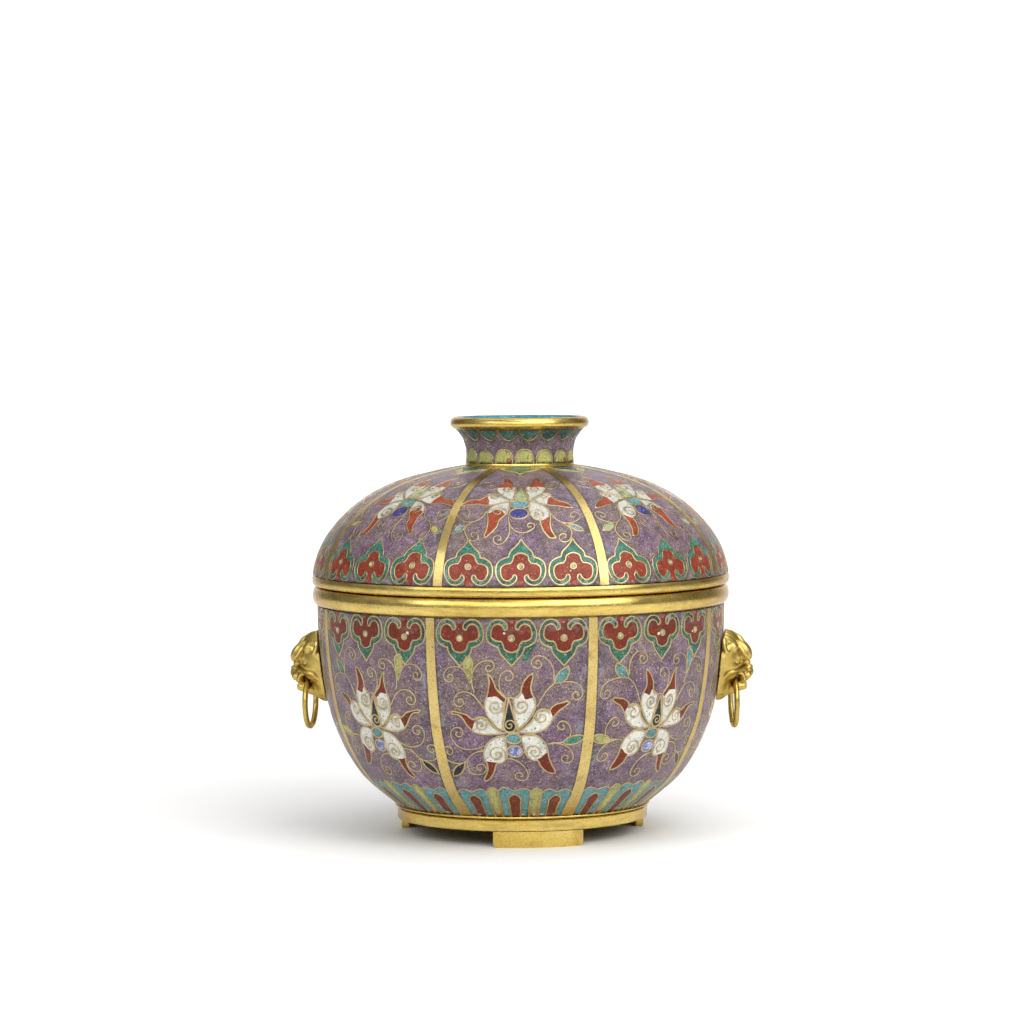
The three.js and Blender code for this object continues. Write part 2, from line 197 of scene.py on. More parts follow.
def enamel(name, colour, speck=(0.46, 0.40, 0.24), specks=1.0, pits=1.0, cloud=1.0, scale=1.0, tint=None, second=None, gloss=0.36, grit=1.0, worn=True, halo=1.0, decay=0.0):
    """Fired enamel: clouded and granular colour, pale specks where the surface was ground through, and small dark pits.

    Where it is worn, specks gather along the wires, and grime darkens the enamel beside the wires and along the panel's
    edges; this darkening is also painted shade, for the wires' shadow and for the shade under the rim and beside the
    ribs."""
    t = Tree(name)
    if worn:
        wire = t.nt.nodes.new("ShaderNodeAttribute")
        wire.attribute_name = "wire_mm"
        edge = t.nt.nodes.new("ShaderNodeAttribute")
        edge.attribute_name = "edge_mm"
        by_wire = t.range(wire.outputs["Fac"], 0.35, 2.4, 1.0, 0.0)
        close = t.range(wire.outputs["Fac"], 0.30, 0.75, 1.0, 0.0)
        by_edge = t.range(edge.outputs["Fac"], 0.2, 2.6, 1.0, 0.0)
        at_edge = t.range(edge.outputs["Fac"], 0.15, 0.9, 1.0, 0.0)
    c = np.array(colour)
    warm = np.array(tint) if tint else c * 1.4 + 0.012
    dark, light = c * (1 - 0.40 * cloud), c + (warm - c) * cloud
    clouds = t.noise(210 * scale, 5, 0.66, distortion=0.35)
    col = t.ramp(clouds, [(0.30, tuple(dark)), (0.50, tuple(c)), (0.70, tuple(light))])
    if second:
        far = t.noise(52, 4, 0.6, distortion=0.4)
        col = t.mix(t.math("MULTIPLY", t.ramp(far, [(0.42, (0, 0, 0)), (0.68, (1, 1, 1))]), 0.75), col, second)
    grain = t.noise(1500, 2, 0.8)
    g = 0.50 * grit
    blotch = t.ramp(t.noise(120 * scale, 4, 0.6, distortion=0.5), [(0.36, (0.58, 0.58, 0.60)), (0.52, (1, 1, 1))])
    col = t.mix(min(1.0, 0.8 * cloud), col, blotch, "MULTIPLY")
    col = t.mix(1.0, col, t.ramp(grain, [(0.32, (1 - g, 1 - g, 1 - g)), (0.50, (1, 1, 1)), (0.68, (1 + g, 1 + g, 1 + g))]), "MULTIPLY")
    # pale specks, denser in patches
    vor = t.nt.nodes.new("ShaderNodeTexVoronoi")
    vor.inputs["Scale"].default_value = 1500
    t.link(t.coord, vor.inputs["Vector"])
    pick = t.nt.nodes.new("ShaderNodeSeparateColor")
    t.link(vor.outputs["Color"], pick.inputs[0])
    dens = t.range(t.noise(60, 5, 0.65), 0.36, 0.66, 0.03, 0.36 * specks)
    if worn:
        gather = t.math("MAXIMUM", by_wire, by_edge)
        dens = t.math("ADD", dens, t.math("MULTIPLY", t.math("MULTIPLY", gather, t.range(t.noise(170, 3, 0.6), 0.35, 0.65, 0.1, 1.0)), 0.34 * halo))
    chosen = t.math("LESS_THAN", pick.outputs[0], dens)
    near = t.ramp(vor.outputs["Distance"], [(0.22, (1, 1, 1)), (0.52, (0, 0, 0))])
    sp = t.math("MULTIPLY", t.math("MULTIPLY", chosen, near), t.math("MULTIPLY", pick.outputs[2], 1.0))
    col = t.mix(sp, col, speck)
    # pits
    vor2 = t.nt.nodes.new("ShaderNodeTexVoronoi")
    vor2.inputs["Scale"].default_value = 850
    t.link(t.coord, vor2.inputs["Vector"])
    pick2 = t.nt.nodes.new("ShaderNodeSeparateColor")
    t.link(vor2.outputs["Color"], pick2.inputs[0])
    dens2 = t.range(t.noise(90, 4, 0.6), 0.35, 0.68, 0.02, 0.34 * pits)
    chosen2 = t.math("LESS_THAN", pick2.outputs[1], dens2)
    near2 = t.ramp(vor2.outputs["Distance"], [(0.16, (1, 1, 1)), (0.36, (0, 0, 0))])
    pit = t.math("MULTIPLY", chosen2, near2)
    col = t.mix(t.math("MULTIPLY", pit, 0.85), col, (c[0] * 0.10 + 0.006, c[1] * 0.10 + 0.006, c[2] * 0.10 + 0.006))
    if worn:
        if decay:
            # near the panel's edges the enamel has perished to black and to a chalky pale blue
            zone = t.range(edge.outputs["Fac"], 1.0, 7.0, 1.0, 0.0)
            gone = t.math("MULTIPLY", zone, t.ramp(t.noise(200, 4, 0.65, distortion=0.4), [(0.46, (0, 0, 0)), (0.56, (1, 1, 1))]))
            col = t.mix(t.math("MULTIPLY", gone, 0.85 * decay), col, (0.030, 0.032, 0.030))
            gone = t.math("MULTIPLY", zone, t.ramp(t.noise(270, 4, 0.7), [(0.52, (0, 0, 0)), (0.60, (1, 1, 1))]))
            col = t.mix(t.math("MULTIPLY", gone, 0.8 * decay), col, (0.26, 0.33, 0.34))
        # grime beside the wires, darkened further as painted shade for the shadow the wires cast on the enamel
        grime_and_shade = t.math("MULTIPLY", close, t.range(t.noise(330, 3, 0.6), 0.42, 0.60, 0.0, 0.85))
        col = t.mix(grime_and_shade, col, (0.042, 0.034, 0.024))
        # a thin dark line along the panel's edges: grime, and painted shade under the rim and beside the ribs
        grime_and_shade = t.math("MULTIPLY", at_edge, t.range(t.noise(420, 4, 0.65), 0.36, 0.60, 0.15, 0.9))
        col = t.mix(grime_and_shade, col, (0.036, 0.030, 0.022))
    t.link(col, t.bsdf.inputs["Base Color"])
    t.set(Metallic=0.0, IOR=1.5)
    t.bsdf.inputs["Specular IOR Level"].default_value = 0.24
    t.bsdf.inputs["Coat Weight"].default_value = 0.06
    t.bsdf.inputs["Coat Roughness"].default_value = 0.12
    t.link(t.range(clouds, 0.3, 0.7, gloss - 0.04, gloss + 0.10), t.bsdf.inputs["Roughness"])
    height = t.math("SUBTRACT", t.math("ADD", t.math("MULTIPLY", t.noise(260, 3, 0.55), 0.8), t.math("MULTIPLY", grain, 0.35)), t.math("MULTIPLY", pit, 1.1))
    t.link(t.bump(height, 0.5, 0.0001), t.bsdf.inputs["Normal"])
    return t.mat


GILT = gilt("gilt_bronze")
GILT_RIB = gilt("gilt_rib", 0.86, 0.28, wear=1.9, pale=0.32, coat=0.9, coat_rough=0.25)
GILT_TURNED = gilt("gilt_turned", 0.94, 0.23, turned=True, pale=-0.10, coat=1.0, coat_rough=0.25)
GILT_CAST = gilt("gilt_cast", 0.74, 0.34, wear=0.8, cast=True)
GILT_RING = gilt("gilt_ring", 0.80, 0.27, wear=1.1)
# the base's gilt is darkened to 0.30 of the usual: painted shade, which deepens the shadow beneath the bowl
GILT_BASE_PAINTED_SHADE = gilt("gilt_base_painted_shade", 0.30, 0.45, wear=1.6, coat=0.0)
GILT_IN = gilt("gilt_interior", 0.88, 0.36, wear=1.3, turned=True)
GROUND = enamel("enamel_aubergine", (0.158, 0.097, 0.147), tint=(0.270, 0.187, 0.250), second=(0.180, 0.134, 0.102), specks=1.2, cloud=0.85, grit=1.15, decay=0.5)
TURQ = enamel("enamel_turquoise_deep", (0.040, 0.240, 0.300), specks=0.5, worn=False)
COLOURS = {
    "ground": GROUND,
    "white": enamel("enamel_white", (0.620, 0.610, 0.545), speck=(0.20, 0.19, 0.16), specks=0.5, pits=1.3, cloud=0.22, grit=0.32),
    "brick": enamel("enamel_brick", (0.150, 0.018, 0.005), speck=(0.32, 0.17, 0.11), specks=0.22, pits=0.6, halo=0.5, cloud=0.6, grit=0.6, tint=(0.21, 0.036, 0.012), decay=0.35),
    "vermilion": enamel("enamel_vermilion", (0.270, 0.042, 0.013), speck=(0.40, 0.25, 0.15), specks=0.3, pits=0.6, cloud=0.6, grit=0.7),
    "slate": enamel("enamel_slate", (0.050, 0.125, 0.110), specks=0.8, pits=1.2, cloud=1.0, second=(0.040, 0.085, 0.100)),
    "lime": enamel("enamel_lime", (0.450, 0.430, 0.140), speck=(0.25, 0.17, 0.06), specks=0.7, pits=0.8, cloud=0.6, grit=0.6, second=(0.36, 0.39, 0.135)),
    "teal": enamel("enamel_teal", (0.026, 0.135, 0.090), specks=1.0, pits=1.5, cloud=1.1, second=(0.030, 0.075, 0.055), decay=1.0),
    "green": enamel("enamel_green", (0.050, 0.175, 0.115), specks=0.8, pits=0.8, cloud=0.7),
    "turquoise": enamel("enamel_turquoise", (0.100, 0.250, 0.270), specks=0.9, pits=0.8, cloud=0.7, second=(0.060, 0.200, 0.170)),
    "paleblue": enamel("enamel_pale_blue", (0.170, 0.300, 0.320), specks=0.8, pits=0.6, cloud=0.5),
    "yellow": enamel("enamel_yellow", (0.400, 0.385, 0.125), speck=(0.25, 0.17, 0.06), specks=0.7, pits=0.8, cloud=0.6, grit=0.6, second=(0.30, 0.33, 0.12)),
    "palegreen": enamel("enamel_pale_green", (0.300, 0.400, 0.220), specks=0.8, pits=0.6, cloud=0.5, grit=0.6),
    "lavender": enamel("enamel_lavender", (0.200, 0.225, 0.480), specks=0.3, pits=0.8, cloud=1.3, scale=3.0, tint=(0.55, 0.58, 0.68), grit=1.3),
    "cobalt": enamel("enamel_cobalt", (0.035, 0.035, 0.180), specks=0.5, pits=0.5, cloud=0.8),
    "black": enamel("enamel_black", (0.016, 0.016, 0.014), speck=(0.20, 0.18, 0.14), specks=0.5, pits=0.3, cloud=0.5, gloss=0.26),
    "cream": enamel("enamel_cream", (0.470, 0.410, 0.230), speck=(0.30, 0.22, 0.12), specks=0.9, pits=0.8, cloud=0.5),
    "brick_high": enamel("enamel_brick_high", (0.230, 0.034, 0.015), speck=(0.42, 0.26, 0.18), specks=0.35, pits=0.6, cloud=0.6, grit=0.6, tint=(0.33, 0.075, 0.045), halo=0.6),
    "teal_high": enamel("enamel_teal_high", (0.045, 0.190, 0.140), specks=1.0, pits=1.2, cloud=0.9, second=(0.030, 0.120, 0.095), decay=0.7),
    "white_high": enamel("enamel_white_high", (0.500, 0.490, 0.430), speck=(0.20, 0.18, 0.13), specks=0.8, pits=1.3, cloud=0.3, grit=0.4),
    "rose": enamel("enamel_rose", (0.300, 0.070, 0.058), specks=0.9, pits=1.0, cloud=0.8),
    "orange": enamel("enamel_orange", (0.360, 0.130, 0.055), specks=0.9, pits=1.0, cloud=0.8),
}


# ---------------------------------------------------------------- mesh helpers
def mesh_object(name, verts, faces, mats, body, replaces=(), smooth=True, mat_index=None, sharp=None):
    me = bpy.data.meshes.new(name)
    me.from_pydata([tuple(v) for v in verts], [], [tuple(int(i) for i in f) for f in faces])
    for m in (mats if isinstance(mats, (list, tuple)) else [mats]):
        me.materials.append(m)
    if mat_index is not None:
        me.polygons.foreach_set("material_index", np.asarray(mat_index, np.int32))
    me.polygons.foreach_set("use_smooth", [smooth] * len(me.polygons))
    me.validate()
    me.update()
    if sharp:
        me.set_sharp_from_angle(angle=math.radians(sharp))
    ob = bpy.data.objects.new(name, me)
    bpy.context.scene.collection.objects.link(ob)
    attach(ob, body)
    if replaces:
        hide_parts(*replaces)
    return ob


def polar(r, a, z):
    return (r * math.sin(a) * MM, -r * math.cos(a) * MM, z * MM)


def smooth_profile(points, step=0.6, passes=3):
    """An evenly stepped, smoothed copy of a measured profile [(r, z), ...]."""
    p = np.array(points, float)
    d = np.r_[0, np.cumsum(np.hypot(*np.diff(p, axis=0).T))]
    n = max(8, int(d[-1] / step))
    s = np.linspace(0, d[-1], n + 1)
    q = np.c_[np.interp(s, d, p[:, 0]), np.interp(s, d, p[:, 1])]
    for _ in range(passes * 4):
        q[1:-1] = 0.25 * q[:-2] + 0.5 * q[1:-1] + 0.25 * q[2:]
    return q


def normals_of(profile):
    """Outward normals of a profile that runs upwards with the axis on its left."""
    t = np.gradient(profile, axis=0)
    t /= np.linalg.norm(t, axis=1)[:, None]
    return np.c_[t[:, 1], -t[:, 0]]


def resample(profile, n):
    d = np.r_[0, np.cumsum(np.hypot(*np.diff(profile, axis=0).T))]
    s = np.linspace(0, d[-1], n)
    return np.c_[np.interp(s, d, profile[:, 0]), np.interp(s, d, profile[:, 1])]


def lathe(name, loop, mats, body, replaces=(), seg=160, sharp=35, turn=0.0):
    """A closed ring turned from a closed section, or a disc-like solid where the section starts and ends on the axis."""
    loop = [tuple(p) for p in loop]
    on_axis = loop[0][0] < 1e-6 and loop[-1][0] < 1e-6
    verts, faces = [], []
    if on_axis:
        body_pts = loop[1:-1]
        verts.append((0, 0, loop[0][1] * MM))
        for i in range(seg):
            a = math.radians(turn) + 2 * math.pi * i / seg
            verts += [polar(r, a, z) for r, z in body_pts]
        verts.append((0, 0, loop[-1][1] * MM))
        n = len(body_pts)
        last = len(verts) - 1
        for i in range(seg):
            j = (i + 1) % seg
            b, c = 1 + i * n, 1 + j * n
            faces.append((0, b, c))
            for k in range(n - 1):
                faces.append((b + k, b + k + 1, c + k + 1, c + k))
            faces.append((last, c + n - 1, b + n - 1))
    else:
        n = len(loop)
        for i in range(seg):
            a = math.radians(turn) + 2 * math.pi * i / seg
            verts += [polar(r, a, z) for r, z in loop]
        for i in range(seg):
            j = (i + 1) % seg
            for k in range(n):
                m = (k + 1) % n
                faces.append((i * n + k, i * n + m, j * n + m, j * n + k))
    v = np.array(verts)
    vol = 0.0
    for f in faces:
        for q in range(1, len(f) - 1):
            vol += np.dot(v[f[0]], np.cross(v[f[q]], v[f[q + 1]]))
    if vol < 0:
        faces = [f[::-1] for f in faces]
    return mesh_object(name, verts, faces, mats, body, replaces, sharp=sharp)


def patch(name, outer, inner, a0, a1, cols, mats, body, replaces, sharp=35, trim=None):
    """A closed wedge of a turned wall between two angles in degrees; trim(r, z) is taken off each side, in mm."""
    loop = np.r_[np.array(outer), np.array(inner)[::-1]]
    n = len(loop)
    verts, faces = [], []
    for i in range(cols + 1):
        for r, z in loop:
            d = math.degrees(trim(r, z) / r) if trim else 0.0
            a = math.radians((a0 + d) + (a1 - a0 - 2 * d) * i / cols)
            verts.append(polar(r, a, z))
    for i in range(cols):
        for k in range(n):
            m = (k + 1) % n
            faces.append((i * n + k, i * n + m, (i + 1) * n + m, (i + 1) * n + k))
    h = len(outer)
    for i, flip in ((0, True), (cols, False)):
        for k in range(h - 1):
            f = (i * n + k, i * n + k + 1, i * n + n - 2 - k, i * n + n - 1 - k)
            faces.append(f[::-1] if flip else f)
    v = np.array(verts)
    vol = 0.0
    for f in faces:
        for q in range(1, len(f) - 1):
            vol += np.dot(v[f[0]], np.cross(v[f[q]], v[f[q + 1]]))
    if vol < 0:
        faces = [f[::-1] for f in faces]
    return mesh_object(name, verts, faces, mats, body, replaces, sharp=sharp)


def offset(profile, d):
    return profile + normals_of(profile) * d


# ---------------------------------------------------------------- profiles (mm)
BOWL_PTS = [(51.3, 12.8), (53.96, 15), (56.46, 17), (58.87, 19), (61.21, 21), (63.25, 23), (64.97, 25), (66.47, 27), (67.82, 29), (69.03, 31), (70.12, 33), (71.16, 35), (72.06, 37), (72.91, 39), (73.78, 41), (74.61, 43), (75.36, 45), (76.05, 47), (76.66, 49), (77.21, 51), (78.0, 55), (78.9, 60), (79.65, 65), (80.28, 70), (80.8, 75), (81.15, 80), (81.3, 85), (81.38, 91.9)]
COVER_PTS = [(83.2, 104.3), (82.86, 107), (82.38, 109), (81.72, 111), (80.99, 113), (80.14, 115), (79.13, 117), (77.93, 119), (76.53, 121), (75.06, 123), (73.39, 125), (71.49, 127), (69.46, 129), (67.14, 131), (64.59, 133), (61.64, 135), (58.28, 137), (54.25, 139), (49.41, 141), (43.25, 143), (34.7, 145.0), (30.15, 145.9), (25.5, 146.7), (22.0, 147.1)]
BOWL = smooth_profile(BOWL_PTS, 1.0)
COVER = smooth_profile(COVER_PTS, 1.0)


# ---------------------------------------------------------------- the drawn design
# Everything is drawn in millimetres on the unrolled panel: x along the curve from the panel's centre line, s up the profile.
# A third value of 1 marks a sharp corner.
BOWL_FLOWER = [
    ("cell", "white", [(-2.98, 44.81, 1), (-5.21, 45.95), (-7.43, 48.43), (-9.22, 51.39), (-9.93, 54.16), (-9.77, 56.66), (-9.09, 58.87), (-8.61, 61.35), (-8.3, 64.09), (-8.76, 66.11), (-9.07, 67.08, 1), (-7.79, 66.0), (-6.52, 63.83), (-5.69, 61.64), (-4.32, 59.89), (-2.74, 58.24), (-1.69, 57.25, 1), (-2.26, 54.49), (-2.65, 50.59), (-3.25, 47.21)]),
    ("zone", "brick", [(-10.83, 58.3, 1), (-8.39, 58.22), (-5.53, 58.35), (-4.1, 57.25), (-2.88, 56.15, 1), (-1.15, 57.25, 1), (-1.12, 59.45, 1), (-5.28, 68.2, 1), (-10.68, 68.16, 1)]),
    ("cell", "white", [(2.48, 44.68, 1), (4.99, 46.84), (7.39, 49.69), (8.93, 52.63), (9.35, 55.4), (8.9, 57.62), (7.85, 59.39), (7.35, 61.59), (7.6, 64.33), (7.94, 65.96), (7.64, 67.33, 1), (6.45, 66.52), (5.15, 64.9), (4.05, 62.45), (3.7, 59.98), (3.25, 58.23), (1.31, 57.25, 1), (1.16, 54.48), (1.53, 51.14), (2.11, 47.49)]),
    ("zone", "brick", [(5.79, 56.94, 1), (8.21, 57.85, 1), (11.71, 59.33, 1), (9.68, 68.66, 1), (2.21, 68.73, 1), (2.63, 59.99, 1), (3.8, 59.87), (4.64, 58.77), (5.26, 57.22)]),
    ("cell", "white", [(-3.44, 43.64, 1), (-5.77, 45.37), (-8.31, 47.97), (-9.63, 49.7), (-11.25, 50.41), (-13.17, 50.27), (-14.57, 49.35), (-15.94, 49.99), (-17.47, 51.25), (-19.81, 51.92), (-22.35, 52.41), (-23.9, 52.36, 1), (-23.23, 51.49), (-20.67, 51.11), (-18.85, 49.37), (-17.56, 47.3), (-16.04, 45.45), (-13.87, 43.87), (-11.14, 43.22), (-7.33, 43.15)]),
    ("zone", "brick", [(-14.19, 49.13), (-14.55, 47.65), (-15.03, 46.22), (-15.51, 44.77, 1), (-25.74, 44.46, 1), (-25.48, 53.54, 1), (-14.42, 53.82, 1)]),
    ("cell", "white", [(2.9, 44.21, 1), (5.62, 46.15), (8.23, 48.73), (9.24, 51.4), (10.66, 53.05), (12.7, 53.57), (14.64, 53.08), (15.3, 54.29), (17.06, 55.69), (19.24, 56.29), (21.44, 56.78), (22.43, 56.31, 1), (21.15, 55.13), (18.66, 53.42), (17.0, 51.57), (16.0, 50.09), (14.88, 47.47), (12.58, 45.23), (9.32, 43.91), (6.1, 43.72)]),
    ("zone", "brick", [(14.76, 53.74, 1), (15.17, 52.51), (15.59, 51.39), (16.11, 49.92, 1), (23.57, 49.69, 1), (23.66, 57.93, 1), (14.71, 58.17, 1)]),
    ("cell", "white", [(-3.03, 42.59, 1), (-5.74, 42.1), (-8.48, 40.65), (-10.51, 38.21), (-11.37, 35.25), (-11.23, 32.65), (-10.32, 30.27), (-10.08, 27.68), (-10.72, 25.14), (-11.57, 23.25), (-10.73, 22.07, 1), (-9.36, 23.24), (-7.84, 26.07), (-7.09, 28.9), (-6.61, 30.19), (-4.7, 30.59), (-2.98, 32.37), (-2.37, 34.73), (-2.39, 38.1), (-2.75, 40.81)]),
    ("zone", "brick", [(-10.67, 31.53), (-8.76, 31.05), (-7.03, 30.82), (-4.97, 30.59, 1), (-5.3, 20.87, 1), (-12.45, 20.72, 1), (-11.49, 31.51, 1)]),
    ("cell", "white", [(3.66, 42.28, 1), (6.36, 43.01), (9.57, 42.73), (12.06, 40.79), (13.41, 38.35), (13.78, 35.46), (13.95, 33.16), (14.76, 30.24), (15.79, 27.75), (15.87, 26.29, 1), (14.44, 26.2), (12.08, 27.47), (10.3, 29.72), (9.38, 32.02), (7.88, 32.17), (5.86, 33.32), (4.84, 35.44), (4.38, 38.38), (3.89, 40.49)]),
    ("zone", "brick", [(9.07, 32.4), (11.04, 33.61), (12.69, 35.18), (14.01, 35.76, 1), (17.59, 24.73, 1), (7.79, 25.03, 1)]),
    ("cell", "black", [(-0.72, 57.25, 1), (-0.11, 55.48), (0.5, 53.26), (1.2, 50.47), (1.9, 47.88), (1.87, 45.95), (0.98, 44.57), (-0.42, 44.11), (-1.81, 44.46), (-2.74, 45.79), (-2.7, 47.89), (-2.06, 50.48), (-1.42, 53.65)]),
    ("oval", "turquoise", (0.59, 41.41), 3.03, 2.08),
    ("oval", "lavender", (0.72, 35.96), 2.92, 2.47),
    ("line", [(-3.44, 43.53), (-2.19, 44.11), (-0.42, 43.88), (1.4, 44.11), (3.16, 43.51)]),
    ("line", [(-1.69, 57.25), (-0.34, 57.69), (1.2, 57.25)]),
    ("line", [(1.2, 57.25), (2.61, 58.34), (3.8, 59.54)]),
    ("curl", [(-2.78, 55.7), (-2.92, 53.71), (-4.02, 52.15)], (-5.81, 54.36), 500, 0.5),
    ("curl", [(1.18, 55.7), (1.26, 53.81), (2.3, 52.14)], (4.15, 54.35), -500, 0.5),
    ("curl", [(-13.98, 48.46), (-12.96, 49.6), (-11.43, 49.85)], (-11.81, 47.13), 500, 0.5),
    ("curl", [(14.73, 52.07), (13.56, 52.88), (11.95, 53.14)], (11.8, 50.24), -500, 0.5),
    ("curl", [(-2.95, 33.36), (-3.31, 35.71), (-4.46, 37.18)], (-6.27, 34.34), -500, 0.5),
    ("curl", [(5.33, 33.45), (5.4, 36.17), (6.62, 38.11)], (8.39, 35.76), 500, 0.5),
    ("curl", [(1.78, 47.09), (1.16, 48.23), (0.21, 48.79)], (-0.47, 46.87), -420, 0.35),
    ("curl", [(-1.79, 57.58), (-3.57, 59.78), (-4.45, 62.47), (-4.46, 65.37)], (-1.35, 65.48), 430, 0.5),
    ("curl", [(-16.0, 64.16), (-17.07, 66.76), (-18.47, 69.13), (-20.31, 70.19), (-22.85, 70.24), (-25.15, 69.25), (-26.64, 67.19)], (-24.29, 66.06), -420, 0.5),
    ("curl", [(-14.08, 60.18), (-14.97, 63.08), (-15.14, 65.92), (-14.72, 68.65), (-13.37, 70.95), (-10.95, 72.28), (-8.46, 72.19)], (-8.71, 69.81), 430, 0.5),
    ("curl", [(-10.37, 53.88), (-12.5, 56.9), (-14.87, 59.46), (-17.95, 60.5), (-20.66, 59.78), (-22.4, 57.64)], (-20.05, 56.48), -430, 0.5),
    ("curl", [(-11.0, 38.32), (-14.07, 37.04), (-17.87, 36.94), (-21.34, 38.36), (-23.36, 41.13), (-23.92, 43.48)], (-20.93, 43.69), 450, 0.5),
    ("line", [(-11.46, 35.99), (-14.4, 35.5), (-16.69, 33.89), (-18.06, 31.84)]),
    ("curl", [(-18.06, 31.84), (-20.49, 30.93), (-23.95, 31.11), (-26.7, 32.88), (-27.77, 35.45)], (-25.09, 35.88), 430, 0.5),
    ("curl", [(-18.06, 31.84), (-17.63, 28.46), (-15.86, 26.01), (-13.26, 25.48)], (-13.04, 28.4), -430, 0.5),
    ("curl", [(-2.48, 32.74), (-0.07, 32.24), (2.57, 30.66), (4.43, 28.07), (5.1, 25.07)], (2.08, 24.83), 450, 0.5),
    ("line", [(13.86, 39.12), (15.72, 39.49), (17.63, 39.68), (19.55, 39.85)]),
    ("curl", [(22.36, 42.44), (22.84, 45.05), (21.88, 47.49)], (19.44, 46.66), -430, 0.5),
    ("curl", [(16.81, 39.58), (20.08, 38.63), (22.53, 36.39), (23.38, 33.56)], (20.53, 32.94), 430, 0.5),
    ("line", [(10.03, 54.39), (11.69, 58.23), (13.89, 61.76), (16.34, 63.9)]),
    ("curl", [(16.09, 65.0), (16.02, 69.09), (14.55, 72.26), (11.99, 74.25), (9.21, 74.4), (7.37, 72.48)], (9.71, 71.58), -430, 0.5),
    ("curl", [(16.34, 63.9), (19.88, 64.36), (23.72, 63.97), (26.6, 62.34), (27.76, 59.71)], (25.23, 59.09), 430, 0.5),
    ("cell", "yellow", [(-17.29, 74.47, 1), (-15.64, 73.74), (-15.0, 71.8), (-15.26, 69.19), (-15.08, 66.47), (-15.89, 63.94, 1), (-17.06, 66.87), (-18.35, 70.11), (-18.42, 72.5)]),
    ("cell", "turquoise", [(16.34, 63.9, 1), (17.08, 66.78), (19.28, 69.12), (21.86, 70.24, 1), (22.34, 68.65), (21.66, 66.44), (19.78, 64.53)]),
    ("cell", "green", [(19.55, 39.85, 1), (21.51, 41.76), (24.03, 42.61), (26.95, 42.54), (28.07, 41.6, 1), (26.24, 39.95), (23.41, 38.86), (20.91, 38.96)]),
    ("cell", "black", [(-24.28, 24.63, 1), (-23.84, 27.35), (-22.39, 29.51), (-20.39, 30.62), (-18.74, 31.69, 1), (-19.46, 28.2), (-21.41, 25.72)]),
]

